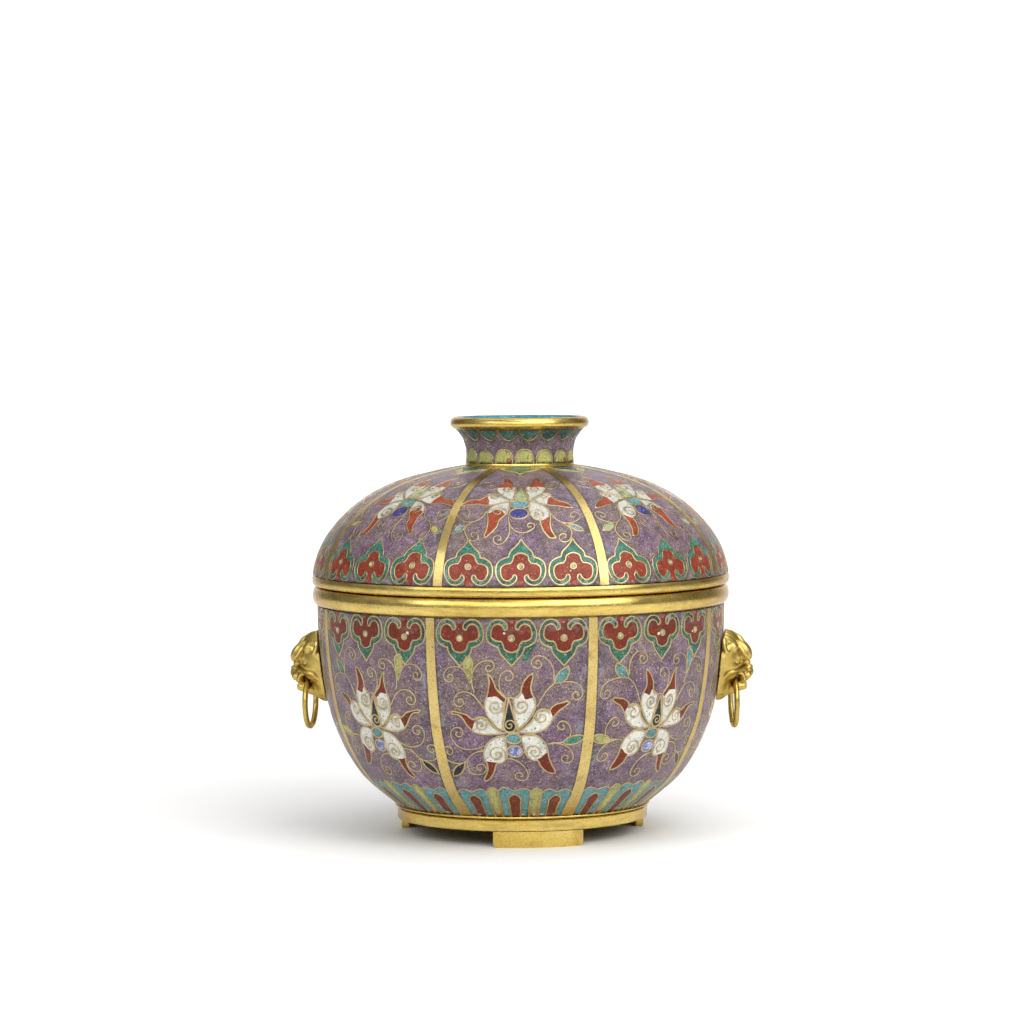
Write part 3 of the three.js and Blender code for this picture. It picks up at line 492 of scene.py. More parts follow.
COVER_FLOWER = [
    ("cell", "white", [(-2.87, 40.5, 1), (-5.43, 41.65), (-8.01, 44.59), (-9.46, 48.6), (-9.11, 51.79), (-8.3, 53.89), (-6.68, 56.14), (-6.23, 58.57), (-6.68, 61.28, 1), (-5.51, 60.34), (-4.16, 57.45), (-3.18, 53.38), (-1.94, 50.87, 1), (-1.86, 48.56), (-2.5, 44.92), (-2.77, 42.3)]),
    ("zone", "vermilion", [(-10.1, 51.12, 1), (-8.29, 50.69), (-5.6, 51.12), (-3.28, 50.88), (-2.74, 52.44, 1), (-2.71, 64.52, 1), (-10.19, 64.53, 1)]),
    ("cell", "white", [(2.78, 40.42, 1), (5.27, 41.67), (7.79, 44.0), (9.54, 47.68), (9.76, 50.77), (9.08, 54.49), (7.38, 56.6), (6.95, 58.53), (7.34, 60.9, 1), (6.15, 60.03), (4.96, 57.23), (3.86, 53.95), (1.88, 51.01, 1), (1.77, 48.49), (2.37, 44.84), (2.8, 42.22)]),
    ("zone", "vermilion", [(10.49, 50.74, 1), (9.12, 50.36), (6.43, 51.11), (3.57, 50.97), (2.87, 52.56, 1), (2.94, 64.36, 1), (10.7, 63.93, 1)]),
    ("cell", "white", [(-3.49, 39.87, 1), (-5.88, 42.32), (-8.28, 44.77), (-10.8, 45.69), (-12.8, 44.94), (-13.88, 42.82), (-15.97, 41.46), (-19.21, 40.93), (-21.63, 39.16), (-23.76, 36.59, 1), (-20.1, 37.67), (-16.17, 38.32), (-12.76, 37.6), (-9.62, 37.9), (-6.5, 39.11)]),
    ("zone", "vermilion", [(-12.8, 44.94, 1), (-12.51, 42.32), (-12.14, 40.52), (-12.22, 37.45, 1), (-24.76, 34.59, 1), (-25.01, 42.97, 1)]),
    ("cell", "white", [(3.31, 39.62, 1), (5.28, 42.17), (7.71, 44.72), (10.05, 45.37), (11.85, 44.41), (12.26, 41.98), (13.78, 40.3), (16.22, 39.12), (18.96, 37.52), (20.85, 35.15, 1), (17.52, 35.55), (14.25, 36.36), (11.19, 36.88), (8.52, 37.54), (5.64, 38.65)]),
    ("zone", "vermilion", [(12.27, 42.82, 1), (10.81, 41.53), (10.42, 39.62), (10.2, 36.62, 1), (22.11, 33.46, 1), (22.38, 41.58, 1)]),
    ("cell", "white", [(-3.85, 39.25, 1), (-6.5, 38.8), (-9.44, 37.46), (-11.58, 35.43), (-12.57, 32.97), (-12.38, 30.13), (-12.47, 26.49), (-13.0, 23.51), (-13.89, 21.2), (-13.27, 20.46, 1), (-11.14, 22.63), (-8.92, 25.45), (-8.03, 28.65), (-6.7, 30.51), (-5.55, 32.05), (-4.75, 34.04), (-4.12, 36.56)]),
    ("zone", "vermilion", [(-12.74, 32.57, 1), (-10.96, 33.24), (-9.17, 34.74), (-7.4, 34.32), (-6.25, 32.57), (-5.46, 31.66, 1), (-5.51, 19.29, 1), (-14.52, 19.29, 1)]),
    ("cell", "white", [(3.3, 39.16, 1), (6.31, 38.79), (8.96, 36.79), (10.79, 33.94), (11.46, 30.39), (11.32, 26.5), (11.98, 22.84), (13.63, 19.68, 1), (11.5, 19.51), (8.88, 22.79), (7.77, 25.99), (7.35, 28.25), (5.51, 29.02), (3.86, 31.05), (3.17, 33.55), (3.02, 36.48)]),
    ("zone", "vermilion", [(7.09, 28.01, 1), (8.86, 28.59), (10.65, 30.03), (12.01, 31.14, 1), (14.5, 18.51, 1), (6.55, 18.66, 1)]),
    ("cell", "palegreen", [(-0.16, 52.86, 1), (-0.8, 48.95), (-2.14, 45.46), (-2.77, 42.98), (-1.98, 40.81), (-0.09, 39.99), (1.81, 40.76), (2.62, 42.9), (2.02, 45.21), (0.71, 48.51)]),
    ("oval", "turquoise", (-0.41, 38.0), 3.62, 2.62),
    ("oval", "cobalt", (-0.70, 32.34), 3.5, 3.02),
    ("curl", [(-1.95, 49.59), (-2.93, 47.57), (-4.27, 47.0)], (-4.71, 49.41), 420, 0.5),
    ("curl", [(1.87, 49.52), (2.83, 47.47), (4.16, 46.86)], (4.8, 49.24), -420, 0.5),
    ("curl", [(-13.15, 43.34), (-11.89, 44.76), (-10.26, 44.59)], (-10.25, 43.01), 420, 0.5),
    ("curl", [(11.28, 43.19), (10.4, 44.45), (9.05, 44.32)], (9.3, 42.74), -420, 0.5),
    ("curl", [(-5.81, 31.79), (-5.45, 33.64), (-6.51, 35.01)], (-8.46, 33.38), -420, 0.5),
    ("curl", [(3.6, 31.95), (4.05, 33.54), (5.38, 34.05)], (6.42, 31.52), 420, 0.5),
    ("curl", [(2.27, 42.57), (1.48, 44.32), (0.6, 44.88)], (-0.29, 42.95), -400, 0.4),
    ("curl", [(-4.58, 32.04), (-4.42, 27.67), (-3.91, 23.61), (-4.63, 20.02), (-6.57, 17.64)], (-8.23, 19.72), 430, 0.5),
    ("curl", [(-4.42, 27.67), (-3.03, 24.45), (-0.64, 22.37), (2.2, 22.34), (4.5, 23.86)], (3.63, 25.59), -400, 0.5),
    ("curl", [(11.66, 31.8), (13.76, 28.6), (16.44, 26.85), (19.62, 26.76), (22.43, 28.22)], (21.01, 30.75), -430, 0.5),
    ("curl", [(14.65, 27.97), (18.0, 25.41), (19.99, 22.64), (19.66, 19.64)], (16.77, 20.03), 430, 0.5),
    ("curl", [(-12.75, 34.05), (-14.99, 30.12), (-18.15, 28.24), (-21.36, 27.85), (-24.09, 29.52)], (-21.51, 32.23), 430, 0.5),
    ("curl", [(-17.61, 28.49), (-20.42, 26.32), (-21.64, 23.44), (-20.84, 20.29)], (-18.11, 21.28), -430, 0.5),
    ("curl", [(-8.92, 50.91), (-11.46, 49.2), (-14.23, 51.31)], (-12.13, 54.11), 400, 0.5),
    ("curl", [(9.58, 50.56), (11.82, 48.8), (14.53, 50.78)], (12.55, 53.6), -400, 0.5),
    ("cell", "paleblue", [(-21.8, 25.72, 1), (-23.66, 25.69), (-25.23, 24.52), (-25.76, 22.5, 1), (-24.36, 22.19), (-22.42, 23.43)]),
    ("cell", "paleblue", [(18.6, 26.08, 1), (21.35, 26.0), (23.82, 24.66), (24.99, 22.93, 1), (22.57, 22.9), (20.02, 24.2)]),
]

RUYI_OUT = [(-2.7, 4.7, 1), (-1.75, 4.2), (-1.55, 2.9), (-2.4, 1.7), (-4.5, 0.65), (-7.2, 1.15), (-9.05, 3.5), (-9.6, 6.4), (-8.8, 9.2), (-6.8, 10.7), (-5.0, 11.3, 1), (-4.1, 13.8), (-1.9, 16.3), (0, 18.4, 1)]
RUYI_OUT_TALL = [(-2.7, 4.7, 1), (-1.75, 4.2), (-1.55, 2.9), (-2.4, 1.7), (-4.5, 0.65), (-7.2, 1.15), (-9.15, 3.5), (-9.7, 6.4), (-8.9, 9.4), (-7.0, 10.9), (-4.9, 11.6, 1), (-4.3, 13.6), (-2.3, 15.8), (-0.9, 17.6), (0, 19.5, 1)]
RUYI_IN = [(-2.7, 4.7, 1), (-3.4, 3.2), (-5.1, 2.35), (-6.9, 3.1), (-7.8, 5.3), (-7.5, 7.7), (-5.9, 8.8), (-4.0, 9.05, 1), (-3.2, 10.2), (-2.7, 12.0), (-1.35, 12.9), (0, 13.2)]


def mirror(path):
    return [(-p[0], *p[1:]) for p in path[::-1]]


def spline(points, closed=False, step=0.32):
    """A smooth line through the points, broken at the corners; returns an array of (x, s)."""
    pts = [tuple(p) for p in points]
    n = len(pts)
    corner = [len(p) > 2 for p in pts]
    xy = np.array([p[:2] for p in pts], float)
    if closed:
        if any(corner):
            k = corner.index(True)
            xy = np.roll(xy, -k, axis=0)
            corner = corner[k:] + corner[:k]
            xy = np.vstack([xy, xy[:1]])
            corner = corner + [True]
        else:
            ext = np.vstack([xy[-2:], xy, xy[:3]])
            return _catmull(ext, step)[1]
    cuts = [0] + [i for i in range(1, len(xy) - 1) if corner[i]] + [len(xy) - 1]
    parts = []
    for i, j in zip(cuts[:-1], cuts[1:]):
        seg = xy[i : j + 1]
        ext = np.vstack([2 * seg[0] - seg[1], seg, 2 * seg[-1] - seg[-2]])
        part = _catmull(ext, step)[0]
        parts.append(part if not parts else part[1:])
    out = np.vstack(parts)
    return out[:-1] if closed else out


def _catmull(ext, step):
    full, loop = [], []
    for k in range(1, len(ext) - 2):
        p0, p1, p2, p3 = ext[k - 1], ext[k], ext[k + 1], ext[k + 2]
        m = max(2, int(math.ceil(np.linalg.norm(p2 - p1) / step)))
        d01, d12, d23 = (max(1e-6, np.linalg.norm(q - p)) ** 0.5 for p, q in ((p0, p1), (p1, p2), (p2, p3)))
        m1 = (p2 - p1) + d12 * ((p1 - p0) / d01 - (p2 - p0) / (d01 + d12))
        m2 = (p2 - p1) + d12 * ((p3 - p2) / d23 - (p3 - p1) / (d12 + d23))
        t = np.linspace(0, 1, m, endpoint=False)[:, None]
        c = (2 * t**3 - 3 * t**2 + 1) * p1 + (t**3 - 2 * t**2 + t) * m1 + (-2 * t**3 + 3 * t**2) * p2 + (t**3 - t**2) * m2
        full.append(c)
        if 2 <= k < len(ext) - 3:
            loop.append(c)
    full.append(ext[-2][None])
    return np.vstack(full), (np.vstack(loop) if loop else None)


def curl_path(stem, centre, turn, r_end):
    """A stem that winds into a spiral round centre; turn is in degrees, clockwise as seen."""
    c = np.array(centre[:2], float)
    last = np.array(stem[-1][:2], float)
    r0 = np.linalg.norm(last - c)
    a0 = math.atan2(last[1] - c[1], last[0] - c[0])
    n = max(6, int(abs(turn) / 24))
    pts = [tuple(p[:2]) for p in stem]
    for i in range(1, n + 1):
        f = i / n
        r = r_end + (r0 - r_end) * (1 - f) ** 1.15
        a = a0 - math.radians(turn) * f
        pts.append((c[0] + r * math.cos(a), c[1] + r * math.sin(a)))
    return spline(pts, step=0.25)


class Drawing:
    """Cells of enamel and the wires between them, for one panel."""

    def __init__(self):
        self.cells = []  # (colour, polygon, kind)
        self.wires = []  # (line, closed, width)

    def cell(self, colour, pts, wire=True, width=0.6):
        poly = spline(pts, closed=True)
        self.cells.append((colour, poly, "cell"))
        if wire:
            self.wires.append((poly, True, width))

    def zone(self, colour, pts):
        self.cells.append((colour, spline(pts, closed=True, step=0.8), "zone"))

    def spill(self, colour, pts):
        """A patch that runs across cells and ground alike."""
        self.cells.append((colour, spline(pts, closed=True, step=0.5), "spill"))

    def oval(self, colour, c, rx, ry, width=0.6):
        n = max(14, int(2 * math.pi * max(rx, ry) / 0.35))
        t = np.linspace(0, 2 * math.pi, n, endpoint=False)
        poly = np.c_[c[0] + rx * np.cos(t), c[1] + ry * np.sin(t)]
        self.cells.append((colour, poly, "cell"))
        self.wires.append((poly, True, width))

    def line(self, pts, width=0.55):
        self.wires.append((spline(pts), False, width))

    def items(self, items, recolour=None):
        recolour = recolour or {}
        for it in items:
            if it[0] == "cell":
                self.cell(recolour.get(it[1], it[1]), it[2])
            elif it[0] == "zone":
                self.zone(recolour.get(it[1], it[1]), it[2])
            elif it[0] == "oval":
                self.oval(recolour.get(it[1], it[1]), it[2], it[3], it[4])
            elif it[0] == "line":
                self.line(it[1])
            elif it[0] == "curl":
                self.wires.append((curl_path(*it[1:]), False, 0.52))

    def ruyi(self, x, border, up, outline, rng):
        """A ruyi head: a green band round a red trefoil; border is where it grows from and up is +1 or -1."""
        kx, kt = rng.uniform(0.975, 1.0), rng.uniform(0.98, 1.02)
        lean = rng.uniform(-0.02, 0.02)
        place = lambda path: [(x + p[0] * kx + lean * p[1], border + up * p[1] * kt, *p[2:]) for p in path]
        out = place(outline + mirror(outline)[1:])
        inn = place(RUYI_IN + mirror(RUYI_IN)[1:])
        o, i = spline(out), spline(inn)
        self.cells.append(("teal", np.vstack([o, i[::-1][1:-1]]), "cell"))
        neck_l = place([(-1.3, -0.4, 1), (-1.5, 1.4), (-1.55, 2.9), (-1.75, 4.2), (-2.7, 4.7, 1)])
        neck_r = place(mirror([(-1.3, -0.4, 1), (-1.5, 1.4), (-1.55, 2.9), (-1.75, 4.2), (-2.7, 4.7, 1)]))
        self.cells.append(("brick" if up < 0 else "brick", np.vstack([spline(neck_l), i[1:-1], spline(neck_r)]), "cell"))
        self.wires.append((o, False, 0.62))
        self.wires.append((i, False, 0.58))
        self.oval("cream", (x + lean * 7.8, border + up * 7.8 * kt), 1.15, 1.15, 0.5)

    def warp(self, rng, amount):
        """Slight unevenness of handwork: every panel is drawn a little differently."""
        ph = rng.uniform(0, 6.28, 8)
        fr = rng.uniform(0.06, 0.14, 8)

        def f(p):
            x, s = p[:, 0], p[:, 1]
            dx = amount * (np.sin(fr[0] * s + ph[0]) + 0.6 * np.sin(fr[1] * x * 2 + fr[2] * s + ph[1]))
            ds = amount * (np.sin(fr[3] * x * 2 + ph[2]) + 0.6 * np.sin(fr[4] * s + fr[5] * x * 2 + ph[3]))
            return np.c_[x + dx, s + ds]

        self.cells = [(c, f(p), k) for c, p, k in self.cells]
        self.wires = [(f(p), cl, w) for p, cl, w in self.wires]


class Surface:
    """The outer surface of a turned wall, addressed by x (mm along the curve from a centre angle) and s (mm up the profile)."""

    def __init__(self, profile):
        self.p = profile
        self.s = np.r_[0, np.cumsum(np.hypot(*np.diff(profile, axis=0).T))]
        self.n = normals_of(profile)
        self.length = self.s[-1]

    def R(self, s):
        return np.interp(s, self.s, self.p[:, 0])

    def z(self, s):
        return np.interp(s, self.s, self.p[:, 1])

    def at(self, x, s, h, centre):
        s = np.asarray(s, float)
        over = s - np.clip(s, 0, self.length)
        r0, z0 = self.R(s), self.z(s)
        k = np.where(over > 0, len(self.p) - 1, 0)
        tdir = np.array([self.p[1] - self.p[0], self.p[-1] - self.p[-2]])
        tdir = tdir / np.linalg.norm(tdir, axis=1)[:, None]
        td = np.where((over > 0)[..., None], tdir[1], tdir[0])
        nr, nz = np.interp(s, self.s, self.n[:, 0]), np.interp(s, self.s, self.n[:, 1])
        a = math.radians(centre) + np.asarray(x) / r0
        r = r0 + over * td[..., 0] + nr * h
        z = z0 + over * td[..., 1] + nz * h
        return np.stack([r * np.sin(a), -r * np.cos(a), z], -1) * MM

    def normal(self, x, s, centre):
        nr, nz = np.interp(s, self.s, self.n[:, 0]), np.interp(s, self.s, self.n[:, 1])
        a = math.radians(centre) + np.asarray(x) / self.R(s)
        v = np.stack([nr * np.sin(a), -nr * np.cos(a), nz], -1)
        return v / np.linalg.norm(v, axis=-1)[..., None]


def enamel_piece(name, surf, centre, edge, drawing, body, replaces, thick=1.0, grid=2.4, cols=None, seam=False):
    """The enamel of one panel as one closed solid, its top face divided into the drawn cells."""
    from mathutils.geometry import delaunay_2d_cdt

    K = 80.0
    L = surf.length
    sv = np.linspace(0, L, max(8, int(L / 1.2)))
    right = np.c_[edge(sv), sv]
    left = np.c_[-edge(sv), sv][::-1]
    nb = cols or 24
    bottom = np.c_[np.linspace(-edge(0.0), edge(0.0), nb)[1:-1], np.zeros(nb - 2)]
    top = np.c_[np.linspace(edge(L), -edge(L), nb)[1:-1], np.full(nb - 2, L)]
    loop = np.vstack([bottom, right, top, left])  # x is already in mm; turned to the angular domain below

    def dom(p):
        return np.c_[p[:, 0] / surf.R(p[:, 1]) * K, p[:, 1]]

    verts = [tuple(v) for v in dom(loop)]
    faces = [list(range(len(verts)))]
    kinds = [("ground", "base")]
    for colour, poly, kind in drawing.cells:
        d = dom(poly)
        keep = np.r_[True, np.linalg.norm(np.diff(d, axis=0), axis=1) > 0.02]
        d = d[keep]
        if np.sum(d[:, 0] * np.roll(d[:, 1], -1) - np.roll(d[:, 0], -1) * d[:, 1]) < 0:
            d = d[::-1]
        k0 = len(verts)
        verts += [tuple(v) for v in d]
        faces.append(list(range(k0, k0 + len(d))))
        kinds.append((colour, kind))
    rows = np.arange(grid, L - grid * 0.6, grid)
    for j, sj in enumerate(rows):
        e = float(edge(sj))
        m = max(3, int(2 * e / grid))
        for q in range(1, m):
            verts.append(((-e + 2 * e * q / m) / surf.R(sj) * K, sj + (0.3 if (q + j) % 2 else -0.3)))
    lines = np.vstack([_thin(line, closed) for line, closed, w in drawing.wires])
    near = []
    for line, closed, w in drawing.wires:
        p = np.asarray(line)[::2]
        if len(p) < 3:
            continue
        g = np.gradient(p, axis=0)
        g = np.c_[-g[:, 1], g[:, 0]] / np.maximum(np.linalg.norm(g, axis=1), 1e-6)[:, None]
        near += [p, p + 0.62 * g, p - 0.62 * g]
    near = np.vstack(near)
    near = near[(near[:, 1] > 0.4) & (near[:, 1] < L - 0.4) & (np.abs(near[:, 0]) < edge(near[:, 1]) - 0.4)]
    near = dom(near)
    for sj in np.arange(1.0, L - 0.5, 1.5):
        e = float(edge(sj))
        near = np.vstack([near, [[(e - 0.9) / surf.R(sj) * K, sj], [-(e - 0.9) / surf.R(sj) * K, sj]]])
    for sj in (0.9, L - 0.9):
        e = float(edge(sj))
        q = np.arange(-e + 1.2, e - 1.0, 1.4)
        near = np.vstack([near, np.c_[q / surf.R(sj) * K, np.full(len(q), sj)]])
    taken = {(round(p[0] / 0.42), round(p[1] / 0.42)) for p in verts}
    for p in near:
        key = (round(p[0] / 0.42), round(p[1] / 0.42))
        if key not in taken:
            taken.add(key)
            verts.append(tuple(p))
    res = delaunay_2d_cdt([Vector(v) for v in verts], [], faces, 1, 1e-4, True)
    V = np.array([tuple(v) for v in res[0]])
    tris, mats, names = [], [], []
    for f, orig in zip(res[2], res[5]):
        if 0 not in orig:
            continue
        m, inside = "ground", False
        o = set(orig)
        for i in range(1, len(kinds)):
            colour, kind = kinds[i]
            if kind == "cell":
                inside = i in o
                if inside:
                    m = colour
            elif kind == "spill":
                m = colour if i in o else m
            elif inside and i in o:
                m = colour
        if m not in names:
            names.append(m)
        tris.append(tuple(f))
        mats.append(names.index(m))
    used = sorted({i for t in tris for i in t})
    remap = {o: n for n, o in enumerate(used)}
    V = V[used]
    tris = [tuple(remap[i] for i in t) for t in tris]
    s = V[:, 1]
    x = V[:, 0] / K * surf.R(s)
    # the triangles face outwards when they run anticlockwise in (x, s)
    fixed = []
    for t in tris:
        a, b, c = (V[i] for i in t)
        area2 = (b[0] - a[0]) * (c[1] - a[1]) - (b[1] - a[1]) * (c[0] - a[0])
        fixed.append(t if area2 > 0 else t[::-1])
    n = len(V)
    edges = {}
    for t in fixed:
        for i in range(3):
            e = (t[i], t[(i + 1) % 3])
            edges[e] = edges.get(e, 0) + 1
    rim = [e for e in edges if (e[1], e[0]) not in edges]
    top_co = surf.at(x, s, 0.0, centre)
    back_co = surf.at(x, s, -thick, centre)
    co = np.vstack([top_co, back_co])
    F = list(fixed) + [(a + n, c + n, b + n) for a, b, c in fixed] + [(a, a + n, b + n, b) for a, b in rim]
    M = mats + [0] * (len(fixed) + len(rim))
    ground_i = names.index("ground") if "ground" in names else 0
    M = mats + [ground_i] * (len(fixed) + len(rim))
    ob = mesh_object(name, co, F, [COLOURS[c] for c in names], body, replaces, mat_index=M)
    me = ob.data
    if seam:
        import bmesh

        bm = bmesh.new()
        bm.from_mesh(me)
        bmesh.ops.remove_doubles(bm, verts=bm.verts, dist=2e-6)
        bm.to_mesh(me)
        bm.free()
    else:
        nrm = surf.normal(x, s, centre)
        me.normals_split_custom_set_from_vertices([tuple(v) for v in np.vstack([nrm, -nrm])])
    tree = KDTree(len(lines))
    at = surf.at(lines[:, 0], lines[:, 1], 0.0, centre)
    for i, p in enumerate(at):
        tree.insert(p, i)
    tree.balance()
    co_now = np.empty(len(me.vertices) * 3, np.float32)
    me.vertices.foreach_get("co", co_now)
    co_now = co_now.reshape(-1, 3)
    far = np.array([tree.find(p)[2] for p in co_now]) / MM
    z_lo, z_hi = surf.p[0][1] * MM, surf.p[-1][1] * MM
    rr = np.hypot(co_now[:, 0], co_now[:, 1])
    s_here = np.interp(co_now[:, 2] / MM, np.sort(surf.p[:, 1]), surf.s)
    border = np.minimum(s_here, L - s_here)
    if not seam:
        ang = np.arctan2(co_now[:, 0], -co_now[:, 1]) - math.radians(centre)
        ang = (ang + math.pi) % (2 * math.pi) - math.pi
        border = np.minimum(border, np.clip(edge(s_here) - np.abs(ang) * rr / MM, 0, None))
    for key, val in (("wire_mm", far), ("edge_mm", border)):
        me.attributes.new(key, "FLOAT", "POINT").data.foreach_set("value", np.asarray(val, np.float32))
    return ob


def _thin(line, closed):
    line = np.asarray(line)
    out = [line]
    if len(line) > 1:
        nxt = np.roll(line, -1, axis=0) if closed else line[1:]
        out.append((line[: len(nxt)] + nxt) / 2)
    return np.vstack(out)


def wire_piece(name, surf, centre, drawing, body, limit=None, sink=0.16, proud=0.085, seed=0):
    """The gilt wires of one panel: flat strips with eased edges, standing a little out of the enamel."""
    rng = np.random.default_rng(seed)
    verts, faces = [], []
    for line, closed, width in drawing.wires:
        line = np.asarray(line)
        if limit is not None:
            ok = np.abs(line[:, 0]) < limit(line[:, 1])
            if not ok.all():
                if closed:
                    k = int(np.argmin(ok))
                    line = np.vstack([line[k:], line[:k]])
                    ok = np.r_[ok[k:], ok[:k]]
                runs, cur = [], []
                for p, o in zip(line, ok):
                    if o:
                        cur.append(p)
                    elif cur:
                        runs.append(cur)
                        cur = []
                if cur:
                    runs.append(cur)
                for r in runs:
                    if len(r) > 2:
                        _sweep(verts, faces, surf, centre, np.array(r), False, width, sink, proud, rng)
                continue
        _sweep(verts, faces, surf, centre, line, closed, width, sink, proud, rng)
    return mesh_object(name, verts, faces, WIRE, body)


def _sweep(verts, faces, surf, centre, line, closed, width, sink, proud, rng):
    keep = np.r_[True, np.linalg.norm(np.diff(line, axis=0), axis=1) > 0.04]
    line = line[keep]
    if closed and np.linalg.norm(line[0] - line[-1]) < 0.04:
        line = line[:-1]
    n = len(line)
    if n < 3:
        return
    P = surf.at(line[:, 0], line[:, 1], 0.0, centre)
    N = surf.normal(line[:, 0], line[:, 1], centre)
    if closed:
        d1, d0 = np.roll(P, -1, axis=0) - P, P - np.roll(P, 1, axis=0)
    else:
        d1 = np.vstack([P[1:] - P[:-1], P[-1:] - P[-2:-1]])
        d0 = np.vstack([P[1:2] - P[:1], P[1:] - P[:-1]])
    d1 /= np.linalg.norm(d1, axis=1)[:, None]
    d0 /= np.linalg.norm(d0, axis=1)[:, None]
    T = d1 + d0
    ln = np.linalg.norm(T, axis=1)
    T[ln < 0.3] = d1[ln < 0.3]
    T /= np.linalg.norm(T, axis=1)[:, None]
    stretch = np.clip(1.0 / np.maximum(0.35, ln / 2), 1.0, 1.6)
    B = np.cross(T, N)
    B /= np.linalg.norm(B, axis=1)[:, None]
    ph = rng.uniform(0, 6.28, 2)
    w = width * (1 + 0.07 * np.sin(np.arange(n) * 0.21 + ph[0]) + 0.05 * np.sin(np.arange(n) * 0.53 + ph[1])) * 0.5
    e = 0.09
    sec = [(-1.0, 0.0, -sink), (-1.0, 0.0, proud * 0.45), (-1.0, e, proud), (1.0, -e, proud), (1.0, 0.0, proud * 0.45), (1.0, 0.0, -sink)]
    k0, m = len(verts), len(sec)
    for i in range(n):
        for sx, off, h in sec:
            verts.append(P[i] + B[i] * ((sx * w[i] + off) * stretch[i] * MM) + N[i] * h * MM)
    end = n if closed else n - 1
    for i in range(end):
        j = (i + 1) % n
        for q in range(m):
            r = (q + 1) % m
            faces.append((k0 + i * m + q, k0 + j * m + q, k0 + j * m + r, k0 + i * m + r))
    if not closed:
        faces.append(tuple(k0 + q for q in range(m)))
        faces.append(tuple(k0 + (n - 1) * m + q for q in range(m))[::-1])


WIRE = gilt("gilt_wire", 0.64, 0.25, wear=1.2, pale=0.75, coat=1.0, coat_rough=0.24)


def blot(rng, x, s, r):
    """An irregular patch."""
    a = np.linspace(0, 2 * math.pi, 8)[:-1] + rng.uniform(0, 1)
    k = r * rng.uniform(0.65, 1.2, 7)
    return [(float(x + k[j] * math.cos(a[j])), float(s + k[j] * math.sin(a[j]))) for j in range(7)]


def bowl_drawing(i, surf, half):
    rng = np.random.default_rng(100 + i)
    d = Drawing()
    swap = [{}, {"green": "yellow", "yellow": "turquoise"}, {"yellow": "green"}, {"turquoise": "green", "green": "yellow"}][i % 4]
    leaves = {k: v for k, v in swap.items()}
    flower = BOWL_FLOWER
    if i % 2:
        flip = lambda ps: [(-p[0], *p[1:]) for p in ps]
        flower = []
        for it in BOWL_FLOWER:
            if it[0] in ("cell", "zone"):
                flower.append((it[0], it[1], flip(it[2])))
            elif it[0] == "oval":
                flower.append((it[0], it[1], (-it[2][0], it[2][1]), it[3], it[4]))
            elif it[0] == "line":
                flower.append((it[0], flip(it[1])))
            else:
                flower.append((it[0], flip(it[1]), (-it[2][0], it[2][1]), -it[3], it[4]))
    d.items(flower[:19])
    d.items(flower[19:-4])
    for it in flower[-4:]:
        d.items([it], leaves)
    d.warp(rng, 0.35)
    for x in (-20.2, 0.0, 20.2):
        d.ruyi(x + rng.uniform(-0.25, 0.25), surf.length + 0.35, -1, RUYI_OUT, rng)
    # repairs and spills: small patches of other colours in the heads' necks, and a run of teal beside one head
    top = surf.length
    for x in (-20.2, 0.0, 20.2):
        d.spill("rose", blot(rng, x + rng.uniform(-0.6, 0.6), top - 0.6, rng.uniform(0.9, 1.5)))
        if rng.random() < 0.5:
            d.spill("white", blot(rng, x + rng.uniform(-3, 3), top - rng.uniform(3.5, 8.0), rng.uniform(0.35, 0.7)))
        if rng.random() < 0.6:
            d.spill("black", blot(rng, x + rng.choice((-1, 1)) * rng.uniform(2.0, 3.2), top - rng.uniform(1.6, 3.4), rng.uniform(0.6, 1.0)))
    if i % 3 == 0:
        for k in range(5):
            d.spill("teal", blot(rng, 5.2 + 0.9 * k * 0.9 + rng.uniform(-0.4, 0.4), top - 14.6 + 1.1 * k + rng.uniform(-0.5, 0.5), 1.5 - 0.12 * k))
    # lappets at the foot, as fractions of the panel's half width
    L = lambda f, s: (f * float(half(min(max(s, 0.0), surf.length))), s)
    for c, w, hgt in ((0.0, 0.275, 18.6), (0.735, 0.262, 17.7), (-0.735, 0.262, 17.7)):
        j = rng.uniform(-0.4, 0.4)
        d.cell("turquoise", [(*L(c - w, -1.2), 1), L(c - w, hgt * 0.5), L(c - w * 1.02, hgt - 2.2), L(c - w * 0.62, hgt + j), (*L(c, hgt - 1.5), 1), L(c + w * 0.62, hgt - j), L(c + w * 1.02, hgt - 2.2), L(c + w, hgt * 0.5), (*L(c + w, -1.2), 1)])
        v = w * 0.38
        d.cell("brick", [(*L(c - v * 0.95, -1.2), 1), L(c - v, hgt * 0.4), L(c - v, hgt * 0.68), L(c, hgt * 0.80), L(c + v, hgt * 0.68), L(c + v, hgt * 0.4), (*L(c + v * 0.95, -1.2), 1)])
    for c in (0.373, -0.373):
        hgt = 18.7 + rng.uniform(-0.3, 0.3)
        d.cell("yellow", [(*L(c - 0.075, -1.2), 1), L(c - 0.08, hgt * 0.5), L(c - 0.088, hgt - 1.6), L(c, hgt), L(c + 0.088, hgt - 1.6), L(c + 0.08, hgt * 0.5), (*L(c + 0.075, -1.2), 1)])
        d.zone("orange", [(*L(c - 0.1, -2), 1), (*L(c - 0.1, 1.0), 1), (*L(c, 1.7), 1), (*L(c + 0.1, 1.1), 1), (*L(c + 0.1, -2), 1)])
    for k in range(9):
        x, y = L(rng.uniform(-0.95, 0.95), 0.5)
        d.spill(str(rng.choice(("orange", "white", "rose", "cream"))), blot(rng, x, rng.uniform(0.2, 1.0), rng.uniform(0.5, 1.1)))
    for k in range(4):
        x, y = L(rng.uniform(-0.9, 0.9), 9.0)
        d.spill("orange" if k % 2 else "white", blot(rng, x, rng.uniform(2.0, 16.0), rng.uniform(0.2, 0.4)))
    return d


